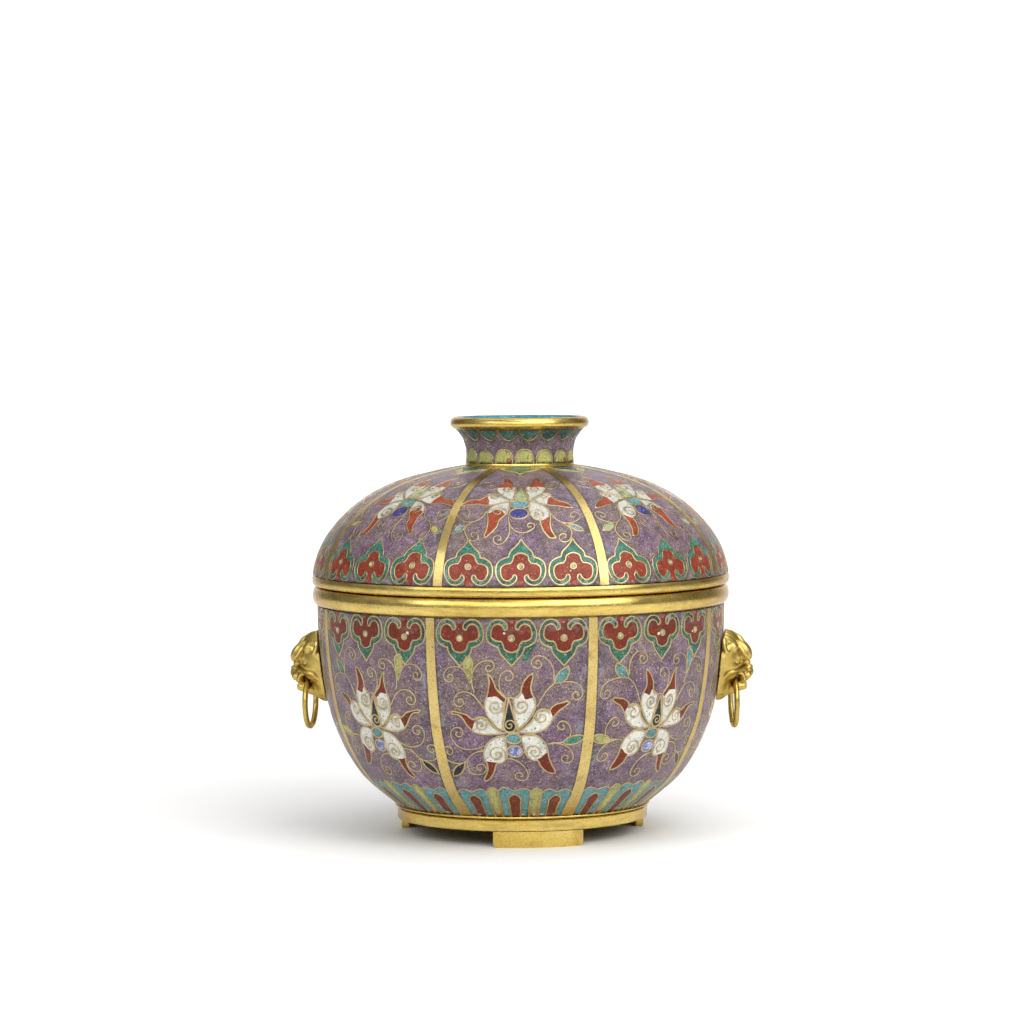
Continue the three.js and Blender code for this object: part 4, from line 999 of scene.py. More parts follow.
def cover_drawing(i, surf, half):
    rng = np.random.default_rng(200 + i)
    d = Drawing()
    swap = [{}, {"paleblue": "palegreen"}, {"paleblue": "turquoise"}, {"paleblue": "yellow"}][i % 4]
    flower = COVER_FLOWER
    if i % 2:
        flip = lambda ps: [(-p[0], *p[1:]) for p in ps]
        flower = []
        for it in COVER_FLOWER:
            if it[0] in ("cell", "zone"):
                flower.append((it[0], it[1], flip(it[2])))
            elif it[0] == "oval":
                flower.append((it[0], it[1], (-it[2][0], it[2][1]), it[3], it[4]))
            elif it[0] == "line":
                flower.append((it[0], flip(it[1])))
            else:
                flower.append((it[0], flip(it[1]), (-it[2][0], it[2][1]), -it[3], it[4]))
    d.items(flower, swap)
    d.warp(rng, 0.3)
    for x in (-20.3, 0.0, 20.3):
        d.ruyi(x + rng.uniform(-0.25, 0.25), -0.2, 1, RUYI_OUT_TALL, rng)
    brighter = {"brick": "brick_high", "teal": "teal_high", "white": "white_high"}
    d.cells = [(brighter.get(c, c), poly, kind) for c, poly, kind in d.cells]
    for x in (-20.3, 0.0, 20.3):
        d.spill("rose", blot(rng, x + rng.uniform(-1.0, 1.0), rng.uniform(0.4, 1.4), rng.uniform(0.8, 1.4)))
        if rng.random() < 0.6:
            d.spill("cream", blot(rng, x + rng.uniform(-3, 3), rng.uniform(3.0, 7.5), rng.uniform(0.3, 0.6)))
        if rng.random() < 0.5:
            d.spill("black", blot(rng, x + rng.choice((-1, 1)) * rng.uniform(3.2, 5.2), rng.uniform(1.5, 4.0), rng.uniform(0.5, 0.9)))
    # pointed petal below the finial
    top = surf.length
    out = [(-6.6, top + 0.6, 1), (-8.2, 76.0), (-6.8, 72.6), (-2.6, 69.6), (0, 64.8, 1), (2.6, 69.6), (6.8, 72.6), (8.2, 76.0), (6.6, top + 0.6, 1)]
    inn = [(-4.6, top + 0.6, 1), (-5.6, 76.6), (-4.3, 74.2), (-1.5, 71.8), (0, 69.2, 1), (1.5, 71.8), (4.3, 74.2), (5.6, 76.6), (4.6, top + 0.6, 1)]
    d.cell("yellow", out)
    d.cell("green" if i % 2 == 0 else "teal", inn)
    return d


bowl_rib_half = lambda z: np.interp(z, [12.8, 20, 91.9], [2.5, 2.3, 1.75])
cover_rib_half = lambda z: np.interp(z, [104.3, 147.1], [1.85, 1.6])

# ---------------------------------------------------------------- bowl
b_out = offset(BOWL, 0.0)
b_back = offset(BOWL, -1.0)
b_cu = offset(BOWL, -1.3)
b_in = offset(BOWL, -2.8)
b_rib = offset(BOWL, 0.15)
bowl_surf = Surface(BOWL)
bowl_edge = lambda s: math.radians(22.5) * bowl_surf.R(s) - bowl_rib_half(bowl_surf.z(s)) - 0.02
for i in range(PANELS):
    mid = i * STEP
    drawing = bowl_drawing(i, bowl_surf, bowl_edge)
    enamel_piece(f"bowl_enamel_{i+1}", bowl_surf, mid, bowl_edge, drawing, "bowl", (f"bowl_enamel_panel_{i+1}",))
    wire_piece(f"bowl_wires_{i+1}", bowl_surf, mid, drawing, "bowl", limit=lambda s: bowl_edge(s) + 0.6, seed=i)
    half = lambda r, z: math.radians(22.5) * r - bowl_rib_half(z)
    patch(f"bowl_gilt_rib_{i+1}", b_rib, b_back, mid, mid + 45, 2, GILT_RIB, "bowl", (f"bowl_rib_{i+1}",), trim=half)

shell_loop = [(0, 9.8), (20, 9.8), (45.6, 9.8), (46.5, 11.2), (48.8, 11.3), (49.2, 12.6)] + [tuple(p) for p in b_cu] + [(80.1, 99.6), (78.6, 99.6)] + [tuple(p) for p in b_in[::-1]] + [(48.5, 13.4), (44.0, 11.6), (20, 11.4), (0, 11.4)]
wall = lathe("bowl_wall", shell_loop, [GILT_IN, GILT_BASE_PAINTED_SHADE], "bowl", ("bowl_shell",))
# the downward faces of the base take the darkened gilt: painted shade beneath the bowl
for p in wall.data.polygons:
    if p.center.z < 0.0115 and p.normal.z < 0.1:
        p.material_index = 1


def roll(cx, cz, rx, rz, a0, a1, n=14):
    return [(cx + rx * math.cos(math.radians(a)), cz + rz * math.sin(math.radians(a))) for a in np.linspace(a0, a1, n)]


lathe("bowl_rim_roll", [(80.4, 92.3)] + roll(81.35, 95.95, 1.95, 3.65, -88, 88, 20) + [(80.4, 99.8)], GILT_TURNED, "bowl", replaces=("bowl_rim_moulding",))
lathe("seat_collar", [(SEAT_R - 1.4, 91.0), (SEAT_R, 91.0), (SEAT_R, SEAT_TOP - 0.7), (SEAT_R - 0.15, SEAT_TOP - 0.25), (SEAT_R - 0.5, SEAT_TOP), (SEAT_R - 1.0, SEAT_TOP), (SEAT_R - 1.4, SEAT_TOP - 0.35)], GILT_TURNED, "bowl", replaces=("cover_seat_collar",))
lathe("foot_ring_wall", [(46.9, 6.4), (49.9, 6.4), (50.15, 6.7), (50.15, 10.4), (49.8, 10.8), (46.9, 10.8)], GILT_TURNED, "bowl", replaces=("foot_ring",))
lathe("foot_wire", [(49.5, 11.3)] + roll(50.55, 11.85, 0.6, 0.55, -90, 90, 10) + [(49.9, 12.4)], GILT_TURNED, "bowl", replaces=("foot_fillet",))
for nm, centre in (("foot_front", 10.25), ("foot_back_right", 125.2), ("foot_back_left", -119.5)):
    zz = np.array([0, 0.25, 0.6, 1.1, 2.0, 4.0, 6.25])
    cut = np.array([1.3, 0.75, 0.35, 0.1, 0, 0, 0])
    outer = np.c_[np.full(7, 50.0), zz]
    inner = np.c_[np.full(7, 46.9), zz]
    patch(f"{nm}_block", outer, inner, centre - 20.8, centre + 20.8, 20, GILT, "bowl", (nm,), trim=lambda r, z: float(np.interp(z, zz, cut)))

# ---------------------------------------------------------------- cover
c_back, c_cu, c_in, c_rib = (offset(COVER, d) for d in (-1.0, -1.3, -2.8, 0.15))
cover_surf = Surface(COVER)
cover_edge = lambda s: math.radians(22.5) * cover_surf.R(s) - cover_rib_half(cover_surf.z(s)) - 0.02
for i in range(PANELS):
    mid = i * STEP + COVER_TURN
    drawing = cover_drawing(i, cover_surf, cover_edge)
    enamel_piece(f"cover_enamel_{i+1}", cover_surf, mid, cover_edge, drawing, "cover", (f"cover_enamel_panel_{i+1}",))
    wire_piece(f"cover_wires_{i+1}", cover_surf, mid, drawing, "cover", limit=lambda s: cover_edge(s) + 0.6, seed=50 + i)
    half = lambda r, z: math.radians(22.5) * r - cover_rib_half(z)
    patch(f"cover_gilt_rib_{i+1}", c_rib, c_back, mid, mid + 45, 2, GILT_RIB, "cover", (f"cover_rib_{i+1}",), trim=half)

lathe("cover_wall", [(0, 145.4)] + [tuple(p) for p in c_in[::-1][:-1]] + [(80.4, 104.3), (81.9, 104.3)] + [tuple(p) for p in c_cu[1:]] + [(0, 146.9)], GILT_IN, "cover", ("cover_shell",))
lathe("cover_band", [(78.9, 100.2), (82.8, 100.2), (83.3, 100.7), (83.42, 101.6), (83.42, 102.8), (83.2, 103.6), (82.8, 104.05), (79.75, 104.05), (79.75, 106.2), (78.9, 106.2)], GILT_TURNED, "cover", replaces=("cover_edge_band",))

FIN = smooth_profile([(21.55, 148.6), (21.4, 151), (21.4, 153), (21.65, 155.4), (22.1, 157), (22.9, 158.6), (24.05, 160.2), (25.6, 161.7)], 0.6, 2)
fin_surf = Surface(FIN)
fin = Drawing()
rng = np.random.default_rng(7)
for k in range(18):
    a = math.radians(-180 + 20 * k + 12)
    x = lambda da, s: ((a + math.radians(da)) * float(fin_surf.R(min(max(s, 0), fin_surf.length))), s)
    t0 = fin_surf.length
    fin.cell("slate", [(*x(-9.6, t0 + 0.5), 1), x(-8.6, t0 - 2.0), x(-5.2, t0 - 4.4), x(0, t0 - 5.3), x(5.2, t0 - 4.4), x(8.6, t0 - 2.0), (*x(9.6, t0 + 0.5), 1)])
for k in range(16):
    a = math.radians(-180 + 22.5 * k + 8)
    x = lambda da, s: ((a + math.radians(da)) * float(fin_surf.R(min(max(s, 0), fin_surf.length))), s)
    h = 5.2 + rng.uniform(-0.4, 0.4)
    fin.cell("lime", [(*x(-9.6, -0.8), 1), x(-9.4, h * 0.45), x(-6.0, h * 0.88), x(0, h), x(6.0, h * 0.88), x(9.4, h * 0.45), (*x(9.6, -0.8), 1)])
    if k % 3 == 1:
        fin.zone("orange", [(*x(2.5, -1), 1), (*x(3.0, 1.8), 1), (*x(7.0, 2.2), 1), (*x(10, 0.6), 1), (*x(10, -1), 1)])
fin_edge = lambda s: math.pi * fin_surf.R(s)
enamel_piece("finial_outside", fin_surf, 0.0, fin_edge, fin, "cover", ("finial_enamel",), cols=97, grid=1.6, seam=True)
wire_piece("finial_wires", fin_surf, 0.0, fin, "cover", seed=99)
lathe("finial_core", [tuple(p) for p in offset(FIN, -1.3)] + [tuple(p) for p in offset(FIN, -2.5)[::-1]], GILT_IN, "cover", ("finial_wall",), seg=96)
lathe("finial_inside", [tuple(p) for p in offset(FIN, -2.8)] + [tuple(p) for p in offset(FIN, -3.6)[::-1]], TURQ, "cover", ("finial_lining",), seg=96)
lathe("finial_dish", [(0, 147.3), (16.7, 147.3), (16.7, 148.5), (8, 148.5), (0, 148.5)], TURQ, "cover", ("finial_floor",), seg=96)
lathe("finial_foot_ring", [(17.0, 146.7), (21.45, 146.7), (21.7, 146.85), (21.82, 147.2), (21.8, 147.9), (21.68, 148.3), (21.45, 148.42), (17.0, 148.42)], GILT_TURNED, "cover", replaces=("finial_base_ring",), seg=96)
lip = lathe("finial_lip", roll(25.35, 164.25, 2.42, 2.42, -172, 78, 24) + [(25.3, 166.6), (24.95, 166.42), (24.6, 166.05), (24.1, 165.45), (23.5, 164.75), (23.0, 164.05)], [GILT_TURNED, TURQ], "cover", replaces=("finial_rim",), seg=120)
for p in lip.data.polygons:
    rho = math.hypot(p.center.x, p.center.y)
    if rho < 0.02485 and p.center.z > 0.1641 and (p.normal.x * p.center.x + p.normal.y * p.center.y) < -0.3 * rho:
        p.material_index = 1


# ---------------------------------------------------------------- beast masks
def surface_nets(f, origin, h):
    """Closed quads round the region where f is negative, on a regular grid."""
    shape = np.array(f.shape) - 1
    corner = [(i, j, k) for i in (0, 1) for j in (0, 1) for k in (0, 1)]
    cut = lambda c: f[c[0] : c[0] + shape[0], c[1] : c[1] + shape[1], c[2] : c[2] + shape[2]]
    acc = np.zeros((*shape, 3))
    cnt = np.zeros(shape)
    for a in corner:
        for b in corner:
            if sum(abs(p - q) for p, q in zip(a, b)) != 1 or a > b:
                continue
            fa, fb = cut(a), cut(b)
            x = (fa < 0) != (fb < 0)
            t = np.where(x, fa / np.where(x, fa - fb, 1), 0)
            for d in range(3):
                acc[..., d] += np.where(x, a[d] + t * (b[d] - a[d]), 0)
            cnt += x
    live = cnt > 0
    idx = -np.ones(shape, int)
    idx[live] = np.arange(live.sum())
    cells = np.argwhere(live)
    verts = (cells + acc[live] / cnt[live][:, None]) * h + origin
    quads = []
    s = f < 0
    for axis, ring in (
        (0, ((0, -1, -1), (0, 0, -1), (0, 0, 0), (0, -1, 0))),
        (1, ((-1, 0, -1), (-1, 0, 0), (0, 0, 0), (0, 0, -1))),
        (2, ((-1, -1, 0), (0, -1, 0), (0, 0, 0), (-1, 0, 0))),
    ):
        lo = [slice(None)] * 3
        hi = [slice(None)] * 3
        lo[axis], hi[axis] = slice(0, -1), slice(1, None)
        a, b = s[tuple(lo)], s[tuple(hi)]
        for inside, flip in ((a & ~b, False), (~a & b, True)):
            e = np.argwhere(inside)
            ok = np.ones(len(e), bool)
            for d in range(3):
                if d != axis:
                    ok &= (e[:, d] > 0) & (e[:, d] < shape[d])
            e = e[ok]
            q = np.stack([idx[tuple((e + np.array(r)).T)] for r in ring], 1)
            quads.append(q[:, ::-1] if flip else q)
    return verts, np.vstack(quads)


def s_min(a, b, k):
    h = np.clip(0.5 + 0.5 * (b - a) / k, 0, 1)
    return b + (a - b) * h - k * h * (1 - h)


def s_max(a, b, k):
    return -s_min(-a, -b, k)


def ball(P, c, r, turn=0.0):
    """Distance to an ellipsoid; turn leans it in the x-z plane, in degrees."""
    x, y, z = P[0] - c[0], P[1] - c[1], P[2] - c[2]
    if turn:
        a = math.radians(turn)
        x, z = x * math.cos(a) + z * math.sin(a), -x * math.sin(a) + z * math.cos(a)
    k0 = np.sqrt((x / r[0]) ** 2 + (y / r[1]) ** 2 + (z / r[2]) ** 2)
    k1 = np.sqrt((x / r[0] ** 2) ** 2 + (y / r[1] ** 2) ** 2 + (z / r[2] ** 2) ** 2)
    return k0 * (k0 - 1) / np.maximum(k1, 1e-6)


def rod(P, pts, rad):
    """Distance to a chain of rounded rods through the points, with a radius at each point."""
    out = None
    for (a, ra), (b, rb) in zip(zip(pts[:-1], rad[:-1]), zip(pts[1:], rad[1:])):
        a, b = np.array(a, float), np.array(b, float)
        ab = b - a
        t = np.clip(sum((P[i] - a[i]) * ab[i] for i in range(3)) / (ab @ ab), 0, 1)
        d = np.sqrt(sum((P[i] - a[i] - t * ab[i]) ** 2 for i in range(3))) - (ra + (rb - ra) * t)
        out = d if out is None else np.minimum(out, d)
    return out


def ring_gap(X, Y, Z, turn, steps):
    """Distance to the ring's wire over its whole swing, around its hinge."""
    a = math.radians(turn)
    # into the ring's own frame: u along the hinge, v outward
    x0 = X - 85.1
    u = x0 * math.sin(a) * -1 + Y * math.cos(a)
    v = x0 * math.cos(a) + Y * math.sin(a)
    w = Z - 61.35
    best = None
    for t in steps:
        q = math.radians(t)
        c, s = math.cos(q), math.sin(q)
        down = -w * c + v * s  # distance below the hinge, within the ring's plane
        off = v * c + w * s
        rho = np.sqrt(u**2 + (down - 9.15) ** 2)
        d = np.sqrt((rho - 9.7) ** 2 + off**2)
        best = d if best is None else np.minimum(best, d)
    return best


def along_path(X, Z, pts):
    """Distance to a line drawn in side view, and which side of it a point is on (positive above)."""
    best, side = None, None
    for p, q in zip(pts[:-1], pts[1:]):
        p, q = np.array(p, float), np.array(q, float)
        v = q - p
        t = np.clip(((X - p[0]) * v[0] + (Z - p[1]) * v[1]) / (v @ v), 0, 1)
        dx, dz = X - p[0] - t * v[0], Z - p[1] - t * v[1]
        d = np.sqrt(dx**2 + dz**2)
        up = np.where((v[0] * dz - v[1] * dx) * (-1 if v[0] < 0 else 1) > 0, 1.0, -1.0)
        if best is None:
            best, side = d, up
        else:
            side = np.where(d < best, up, side)
            best = np.minimum(best, d)
    return best, side


def beast(turn, wall, h=0.23):
    """The beast's head for the right side, looking out along +x; returns vertices (mm) and faces."""
    xs = np.arange(76.6, 93.6, h)
    ys = np.arange(-13.8, 13.8 + h, h)
    zs = np.arange(51.8, 82.6, h)
    X, Y, Z = np.meshgrid(xs, ys, zs, indexing="ij")
    X, Y, Z = X.astype(np.float32), Y.astype(np.float32), Z.astype(np.float32)
    A = np.sqrt(Y**2 + 0.02)
    P = (X, A, Z)
    depth = np.sqrt(X**2 + Y**2) - np.interp(Z, wall[:, 1], wall[:, 0]).astype(np.float32)
    # skull and cheeks, with the mane drawn back over them
    d = ball(P, (79.8, 0, 69.6), (9.7, 12.4, 11.7))
    d = s_min(d, ball(P, (78.4, 0, 60.8), (5.6, 10.4, 8.2)), 2.6)
    over = np.clip((Z - 73.5) / 3.0, 0, 1) * np.clip((8.5 - A) / 2.0, 0, 1) * np.clip((88.4 - X) / 2.0, 0, 1)
    d = d - 0.15 * over * np.cos(A * 2 * math.pi / 1.75 + 0.35 * np.sin(X * 0.9))
    rim = np.clip((81.9 - X) / 1.2, 0, 1) * np.clip((A - 8.5) / 2.0, 0, 1)
    d = d - 0.08 * rim * np.cos((Z - 1.1 * (X - 78)) * 2 * math.pi / 2.1)
    # muzzle and jaw
    d = s_min(d, ball(P, (86.2, 0, 63.3), (5.9, 5.1, 3.7)), 1.6)
    d = s_min(d, rod(P, [(79.6, 4.6, 57.8), (84.0, 2.9, 57.9), (88.4, 2.2, 58.3)], [3.7, 2.5, 1.5]), 1.3)
    beard = np.clip((57.8 - Z) / 1.5, 0, 1) * np.clip((85.5 - X) / 1.5, 0, 1)
    d = d - 0.11 * beard * np.cos(A * 2 * math.pi / 1.7)
    d = s_min(d, ball(P, (88.4, 0, 61.4), (2.4, 4.6, 2.3)), 0.8)
    # lower lip with teeth, and the tongue's curl at the front
    d = s_min(d, ball(P, (89.2, 0, 57.9), (1.2, 2.9, 1.1)), 0.4)
    d = s_min(d, ball(P, (89.5, 2.5, 59.2), (0.75, 0.7, 1.5)), 0.25)
    d = s_min(d, ball(P, (89.9, 0.9, 58.9), (0.5, 0.7, 0.8)), 0.2)
    d = s_max(d, -ball(P, (90.6, 0, 60.0), (2.4, 3.2, 0.5)), 0.25)
    # cheekbone under the eye
    d = s_min(d, ball(P, (83.3, 7.4, 66.4), (3.4, 3.8, 2.4), 10), 1.3)
    # nose: bridge, tip, wings
    d = s_min(d, rod(P, [(88.3, 0, 71.0), (90.2, 0, 67.6), (91.0, 0, 64.8)], [2.2, 1.7, 1.7]), 0.8)
    d = s_min(d, ball(P, (90.9, 0, 63.9), (2.1, 2.6, 1.9)), 0.6)
    d = s_min(d, ball(P, (90.5, 2.9, 62.7), (1.75, 1.65, 1.55)), 0.35)
    d = s_max(d, -ball(P, (92.1, 2.6, 62.4), (0.75, 0.7, 0.6)), 0.3)
    d = s_max(d, -rod(P, [(92.6, 0, 62.4), (91.0, 0, 60.4)], [0.3, 0.35]), 0.4)
    # folds: one from the root of the nose back under the eye, a shorter one above it
    q, up = along_path(X, Z, [(92.6, 67.3), (90.4, 66.9), (88.4, 66.3), (86.2, 65.8), (84.0, 65.4), (82.2, 64.5), (80.3, 62.8)])
    fade = np.clip((X - 80.4) / 1.5, 0, 1)
    d = d + fade * 0.42 * np.exp(-((q / 0.42) ** 2))
    below = np.where(up < 0, q, 9.0)
    d = d - fade * 0.42 * np.exp(-(((below - 1.0) / 0.75) ** 2))
    q, up = along_path(X, Z, [(92.4, 68.8), (90.8, 68.5), (89.6, 68.7)])
    d = d + np.clip((2.6 - A) / 0.6, 0, 1) * 0.22 * np.exp(-((q / 0.3) ** 2))
    q, up = along_path(X, Z, [(84.4, 61.2), (83.2, 59.6), (82.6, 57.2), (82.9, 55.2)])
    d = d + 0.22 * np.exp(-((q / 0.45) ** 2))
    # eyes: socket, ball, lids, pupil
    ex, ey, ez = 85.6, 6.6, 69.1
    d = s_max(d, -ball(P, (ex + 1.3, ey + 1.3, ez), (2.1, 2.1, 1.9)), 0.7)
    d = s_min(d, ball(P, (ex, ey, ez), (1.95, 1.95, 1.75)), 0.15)
    upper = [(88.2, 4.6, 68.3), (87.9, 5.9, 69.9), (86.9, 7.5, 70.7), (85.3, 8.9, 70.2), (84.0, 9.2, 68.9)]
    lower = [(88.0, 4.9, 68.2), (87.7, 6.5, 67.5), (86.6, 8.0, 67.2), (85.2, 8.9, 67.7), (84.0, 9.2, 68.9)]
    d = s_min(d, rod(P, upper, [0.4, 0.55, 0.6, 0.5, 0.3]), 0.25)
    d = s_min(d, rod(P, lower, [0.35, 0.45, 0.5, 0.42, 0.3]), 0.25)
    d = s_max(d, -ball(P, (87.0, 8.0, 69.1), (0.5, 0.5, 0.5)), 0.2)
    # brows: a rolled curl over each eye, cut with strands along it
    bx, by, bz = X - 88.6, A - 4.3, Z - 72.9
    a = math.radians(-50)
    along, across = bx * math.cos(a) + bz * math.sin(a), -bx * math.sin(a) + bz * math.cos(a)
    brow = ball((along, by, across), (0, 0, 0), (4.9, 3.5, 2.75))
    ang = np.arctan2(across * 1.2, by)
    brow = brow - 0.27 * np.clip(np.cos(ang * 7.0 + along * 0.22), -0.55, 1) * np.clip(1.15 - np.abs(along) / 6.0, 0, 1)
    d = s_min(d, brow, 0.35)
    # a curl at the outer end of each brow
    cx, cy, cz = X - 85.0, A - 8.3, Z - 74.2
    rr = np.sqrt(cx**2 + cz**2 + 0.3 * cy**2)
    swirl = np.cos(rr * 4.4 - np.arctan2(cz, cx))
    curl = ball(P, (84.2, 8.0, 74.3), (2.7, 2.6, 2.5))
    d = s_min(d, curl - 0.10 * swirl, 0.6)
    # crest between the brows
    d = s_min(d, rod(P, [(83.8, 0, 79.4), (87.4, 0, 77.3), (89.8, 0, 74.0), (90.4, 0, 72.4)], [1.3, 1.25, 1.1, 0.8]), 0.5)
    # ears, laid back against the mane
    ear = ball(P, (81.6, 11.0, 75.2), (1.7, 2.0, 3.4), 14)
    ear = s_max(ear, -ball(P, (83.0, 11.9, 75.3), (1.25, 1.3, 2.3), 14), 0.35)
    d = s_min(d, ear, 0.5)
    # lips: a raised ring round each opening for the loose ring
    yaw = math.radians(turn)
    for side in (-1, 1):
        ox = 85.1 - side * 5.0 * math.tan(yaw) + 0.55
        q = np.sqrt((X - ox) ** 2 + (Z - 61.3) ** 2)
        lip = np.sqrt((q - 2.7) ** 2 + (Y - side * 4.55) ** 2) - 1.05
        lip = s_max(lip, 60.2 - Z + 0.25 * (X - ox), 0.6)
        d = s_min(d, lip, 0.5)
    # the head stands just clear of the wall
    d = s_max(d, 0.38 - depth, 0.12)
    # the way of the ring: the tunnel, and the room it swings through
    d = s_max(d, 1.42 - ring_gap(X, Y, Z, turn, np.arange(-14, 113, 3.0)), 0.25)
    rest = ring_gap(X, Y, Z, turn, (0.0,))
    d = s_max(d, 1.48 + 0.42 * np.clip((A - 3.4) / 1.2, 0, 1) - np.where(Z > 57, rest, 9), 0.25)
    for axis in range(3):
        d = (np.roll(d, 1, axis) + np.roll(d, -1, axis) + 2 * d) / 4
    return surface_nets(d.astype(np.float64), np.array((xs[0], ys[0], zs[0])), h)


def hollows(me):
    """How far each vertex lies in a hollow, from about -1 on a ridge to 1 in a groove."""
    n = len(me.vertices)
    co = np.empty(n * 3)
    me.vertices.foreach_get("co", co)
    co = co.reshape(-1, 3) / MM
    nr = np.empty(n * 3, np.float32)
    me.vertex_normals.foreach_get("vector", nr)
    nr = nr.reshape(-1, 3)
    ed = np.empty(len(me.edges) * 2, np.int32)
    me.edges.foreach_get("vertices", ed)
    ed = ed.reshape(-1, 2)
    deg = np.bincount(ed.ravel(), minlength=n)[:, None]

    def mean(x):
        out = np.zeros_like(x)
        np.add.at(out, ed[:, 0], x[ed[:, 1]])
        np.add.at(out, ed[:, 1], x[ed[:, 0]])
        return out / np.maximum(deg, 1)

    soft = co
    for _ in range(14):
        soft = 0.4 * soft + 0.6 * mean(soft)
    k = np.einsum("ij,ij->i", soft - co, nr)[:, None]
    for _ in range(2):
        k = mean(k)
    return np.clip(k[:, 0] / 0.16, -1, 1).astype(np.float32)


head_v, head_f = beast(7.0, np.array(BOWL_PTS))
for side, sx in (("right", 1), ("left", -1)):
    vv = head_v * np.array((sx, 1, 1)) * MM
    ff = head_f if sx > 0 else head_f[:, ::-1]
    ob = mesh_object(f"beast_mask_{side}", vv, [tuple(map(int, q)) for q in ff], GILT_CAST, "bowl", replaces=(f"mask_{side}",))
    ob.data.attributes.new("hollow", "FLOAT", "POINT").data.foreach_set("value", hollows(ob.data))


# ---------------------------------------------------------------- rings
def torus(name, centre, turn, major, minor, body, replaces):
    verts, faces = [], []
    n, m = 96, 20
    for i in range(n):
        u = 2 * math.pi * i / n
        for j in range(m):
            w = 2 * math.pi * j / m
            rr = major + minor * math.cos(w)
            p = Vector((minor * math.sin(w), rr * math.cos(u), rr * math.sin(u)))
            p = Matrix.Rotation(math.radians(turn), 3, "Z") @ p
            verts.append(((centre[0] + p.x) * MM, (centre[1] + p.y) * MM, (centre[2] + p.z) * MM))
    for i in range(n):
        for j in range(m):
            a, b = (i + 1) % n, (j + 1) % m
            faces.append((i * m + j, a * m + j, a * m + b, i * m + b))
    return mesh_object(name, verts, [f[::-1] for f in faces], GILT_RING, body, replaces=replaces)


for side, s in (("right", 1), ("left", -1)):
    torus(f"loose_ring_{side}", (85.1 * s, 0, 52.2), 7 * s, 9.7, 1.1, f"ring_{side}", (f"ring_{side}",))

# ---------------------------------------------------------------- CAD pieces that stay
for name, ob in nodes.items():
    if not ob.hide_render:
        if not ob.material_slots:
            ob.data.materials.append(GILT)
        for sl in ob.material_slots:
            sl.material = GILT

# ---------------------------------------------------------------- floor, light, camera
scene = bpy.context.scene
bpy.ops.mesh.primitive_plane_add(size=1)
floor = bpy.context.object
floor.name = "floor"
me = floor.data
rows = []
pts = [(-1.2, 0.0)] + [(0.9 + 0.6 * math.sin(t), 0.6 - 0.6 * math.cos(t)) for t in np.linspace(0, math.pi / 2, 24)] + [(1.5, 3.0)]
v, f = [], []
for k, (y, z) in enumerate(pts):
    v += [(-4, y - 1.5 * (k == 0), z - 0.00002), (4, y - 1.5 * (k == 0), z - 0.00002)]
    if k:
        f.append((2 * k - 2, 2 * k - 1, 2 * k + 1, 2 * k))
me.clear_geometry()
me.from_pydata(v, [], f)
me.polygons.foreach_set("use_smooth", [True] * len(me.polygons))
t = Tree("floor_paper")
paper = t.ramp(t.noise(3, 2), [(0.3, (0.90, 0.90, 0.895)), (0.7, (0.92, 0.92, 0.915))])
sep = t.nt.nodes.new("ShaderNodeSeparateXYZ")
t.link(t.coord, sep.inputs[0])
aside = t.range(t.math("ABSOLUTE", sep.outputs[0]), 0.62, 1.25, 0.0, 1.0)
behind = t.range(sep.outputs[1], 0.55, 1.15, 0.0, 1.0)
# the far corners are dark only in what the object reflects, and plain and pale to the camera
ray = t.nt.nodes.new("ShaderNodeLightPath")
unseen = t.math("SUBTRACT", 1.0, ray.outputs["Is Camera Ray"])
paper = t.mix(t.math("MULTIPLY", t.math("MULTIPLY", aside, behind), unseen), paper, (0.30, 0.30, 0.30))
t.link(paper, t.bsdf.inputs["Base Color"])
t.set(Roughness=0.75)
# far from the object the paper runs into plain white, for the camera alone: it lights nothing
away = t.math("SQRT", t.math("ADD", t.math("MULTIPLY", sep.outputs[0], sep.outputs[0]), t.math("MULTIPLY", sep.outputs[1], sep.outputs[1])))
t.link(t.math("MULTIPLY", t.range(away, 0.75, 2.4, 0.0, 1.0), ray.outputs["Is Camera Ray"]), t.bsdf.inputs["Emission Strength"])
t.bsdf.inputs["Emission Color"].default_value = (1, 1, 1, 1)
me.materials.append(t.mat)


def area(name, loc, target, size, power, colour=(1, 1, 1), size_y=None):
    d = bpy.data.lights.new(name, "AREA")
    d.shape = "RECTANGLE"
    d.size = size
    d.size_y = size_y or size
    d.energy = power
    d.color = colour
    o = bpy.data.objects.new(name, d)
    o.location = loc
    o.rotation_euler = (Vector(target) - Vector(loc)).to_track_quat("-Z", "Y").to_euler()
    scene.collection.objects.link(o)
    return o


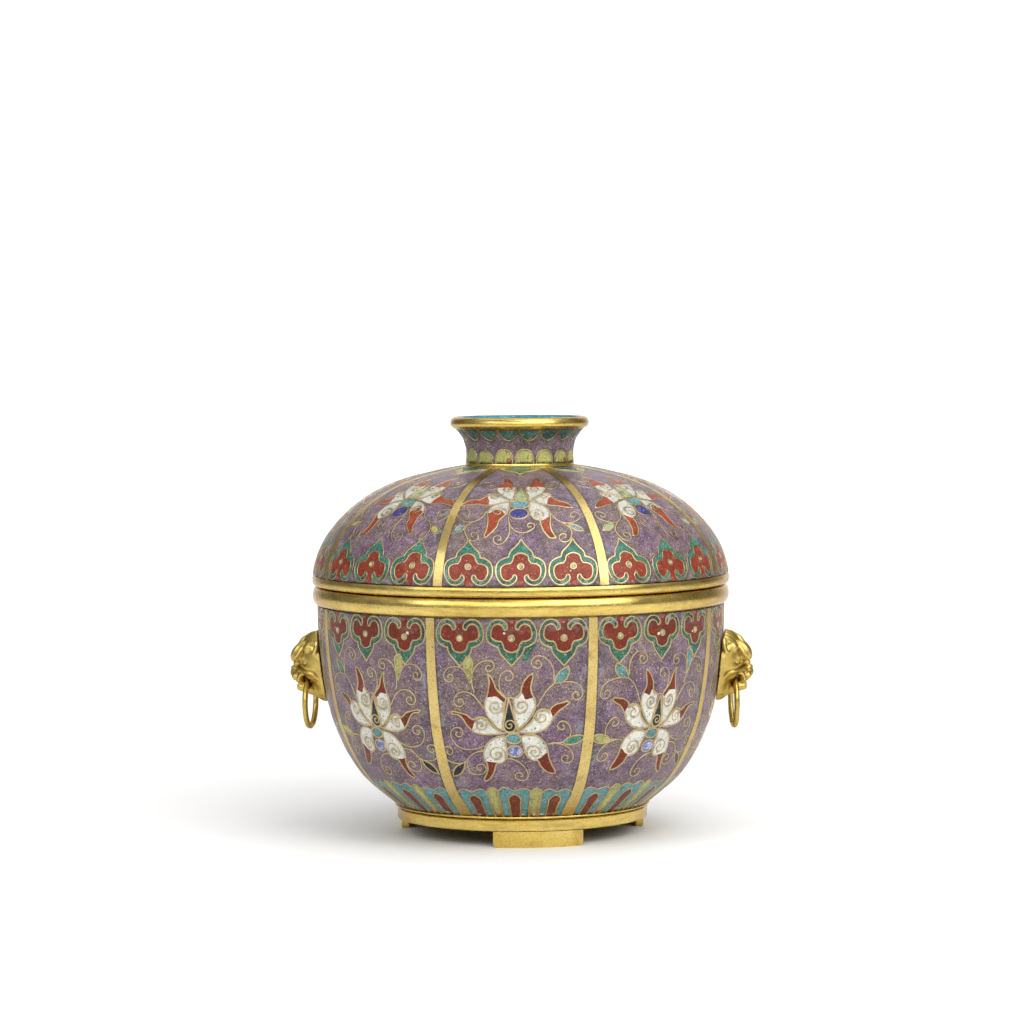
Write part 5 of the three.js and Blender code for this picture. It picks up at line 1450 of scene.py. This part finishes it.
area("key", (1.00, -1.18, 1.00), (0, 0, 0.08), 1.50, 17.8, (1.0, 0.985, 0.96), 1.1)
area("left", (-1.08, -1.15, 1.00), (0, 0, 0.08), 1.05, 7.5, (0.98, 0.99, 1.0), 1.1)
area("front", (0.06, -1.95, 1.00), (0, 0, 0.08), 0.80, 7.8, (1, 1, 1), 1.0)
area("top", (0.42, -0.40, 1.45), (0, 0.0, 0), 1.2, 9.0)
area("back", (0.0, 0.45, 1.3), (0, 1.5, 0.5), 1.4, 6.0, (1, 1, 1), 0.8)
# a strip that joins up the highlights along the rims: only glossy surfaces see it
o = area("strip", (-0.66, -1.95, 1.00), (0, 0, 0.08), 0.55, 3.8, (1, 1, 1), 1.0)
o.visible_diffuse = False
world = bpy.data.worlds.new("studio")
world.use_nodes = True
wn = world.node_tree
bg = wn.nodes["Background"]
tc = wn.nodes.new("ShaderNodeTexCoord")
sp = wn.nodes.new("ShaderNodeSeparateXYZ")
wr = wn.nodes.new("ShaderNodeValToRGB")
wn.links.new(tc.outputs["Generated"], sp.inputs[0])
wn.links.new(sp.outputs[2], wr.inputs[0])
wr.color_ramp.elements[0].position = 0.0
wr.color_ramp.elements[0].color = (0.17, 0.17, 0.18, 1)
wr.color_ramp.elements[1].position = 0.8
wr.color_ramp.elements[1].color = (0.55, 0.55, 0.55, 1)
# past the floor's edge the camera sees plain white
ray = wn.nodes.new("ShaderNodeLightPath")
seen = wn.nodes.new("ShaderNodeMix")
seen.data_type = "RGBA"
wn.links.new(ray.outputs["Is Camera Ray"], seen.inputs[0])
wn.links.new(wr.outputs[0], seen.inputs[6])
seen.inputs[7].default_value = (1, 1, 1, 1)
wn.links.new(seen.outputs[2], bg.inputs[0])
bg.inputs[1].default_value = 1.0
scene.world = world
scene.view_settings.view_transform = "Standard"

cam_data = bpy.data.cameras.new("camera")
cam_data.lens = 132.2
cam_data.sensor_width = 36
cam_data.clip_end = 20
cam = bpy.data.objects.new("camera", cam_data)
scene.collection.objects.link(cam)
loc = Vector((0.0722, -1.5023, 0.2066))
yaw = math.radians(2.75 + 0.126)
pitch = math.radians(-2.98)
d = Vector((-math.sin(yaw) * math.cos(pitch), math.cos(yaw) * math.cos(pitch), math.sin(pitch)))
q = d.to_track_quat("-Z", "Y").to_matrix().to_4x4()
cam.matrix_world = Matrix.Translation(loc) @ q @ Matrix.Rotation(math.radians(-0.43), 4, "Z")
scene.camera = cam
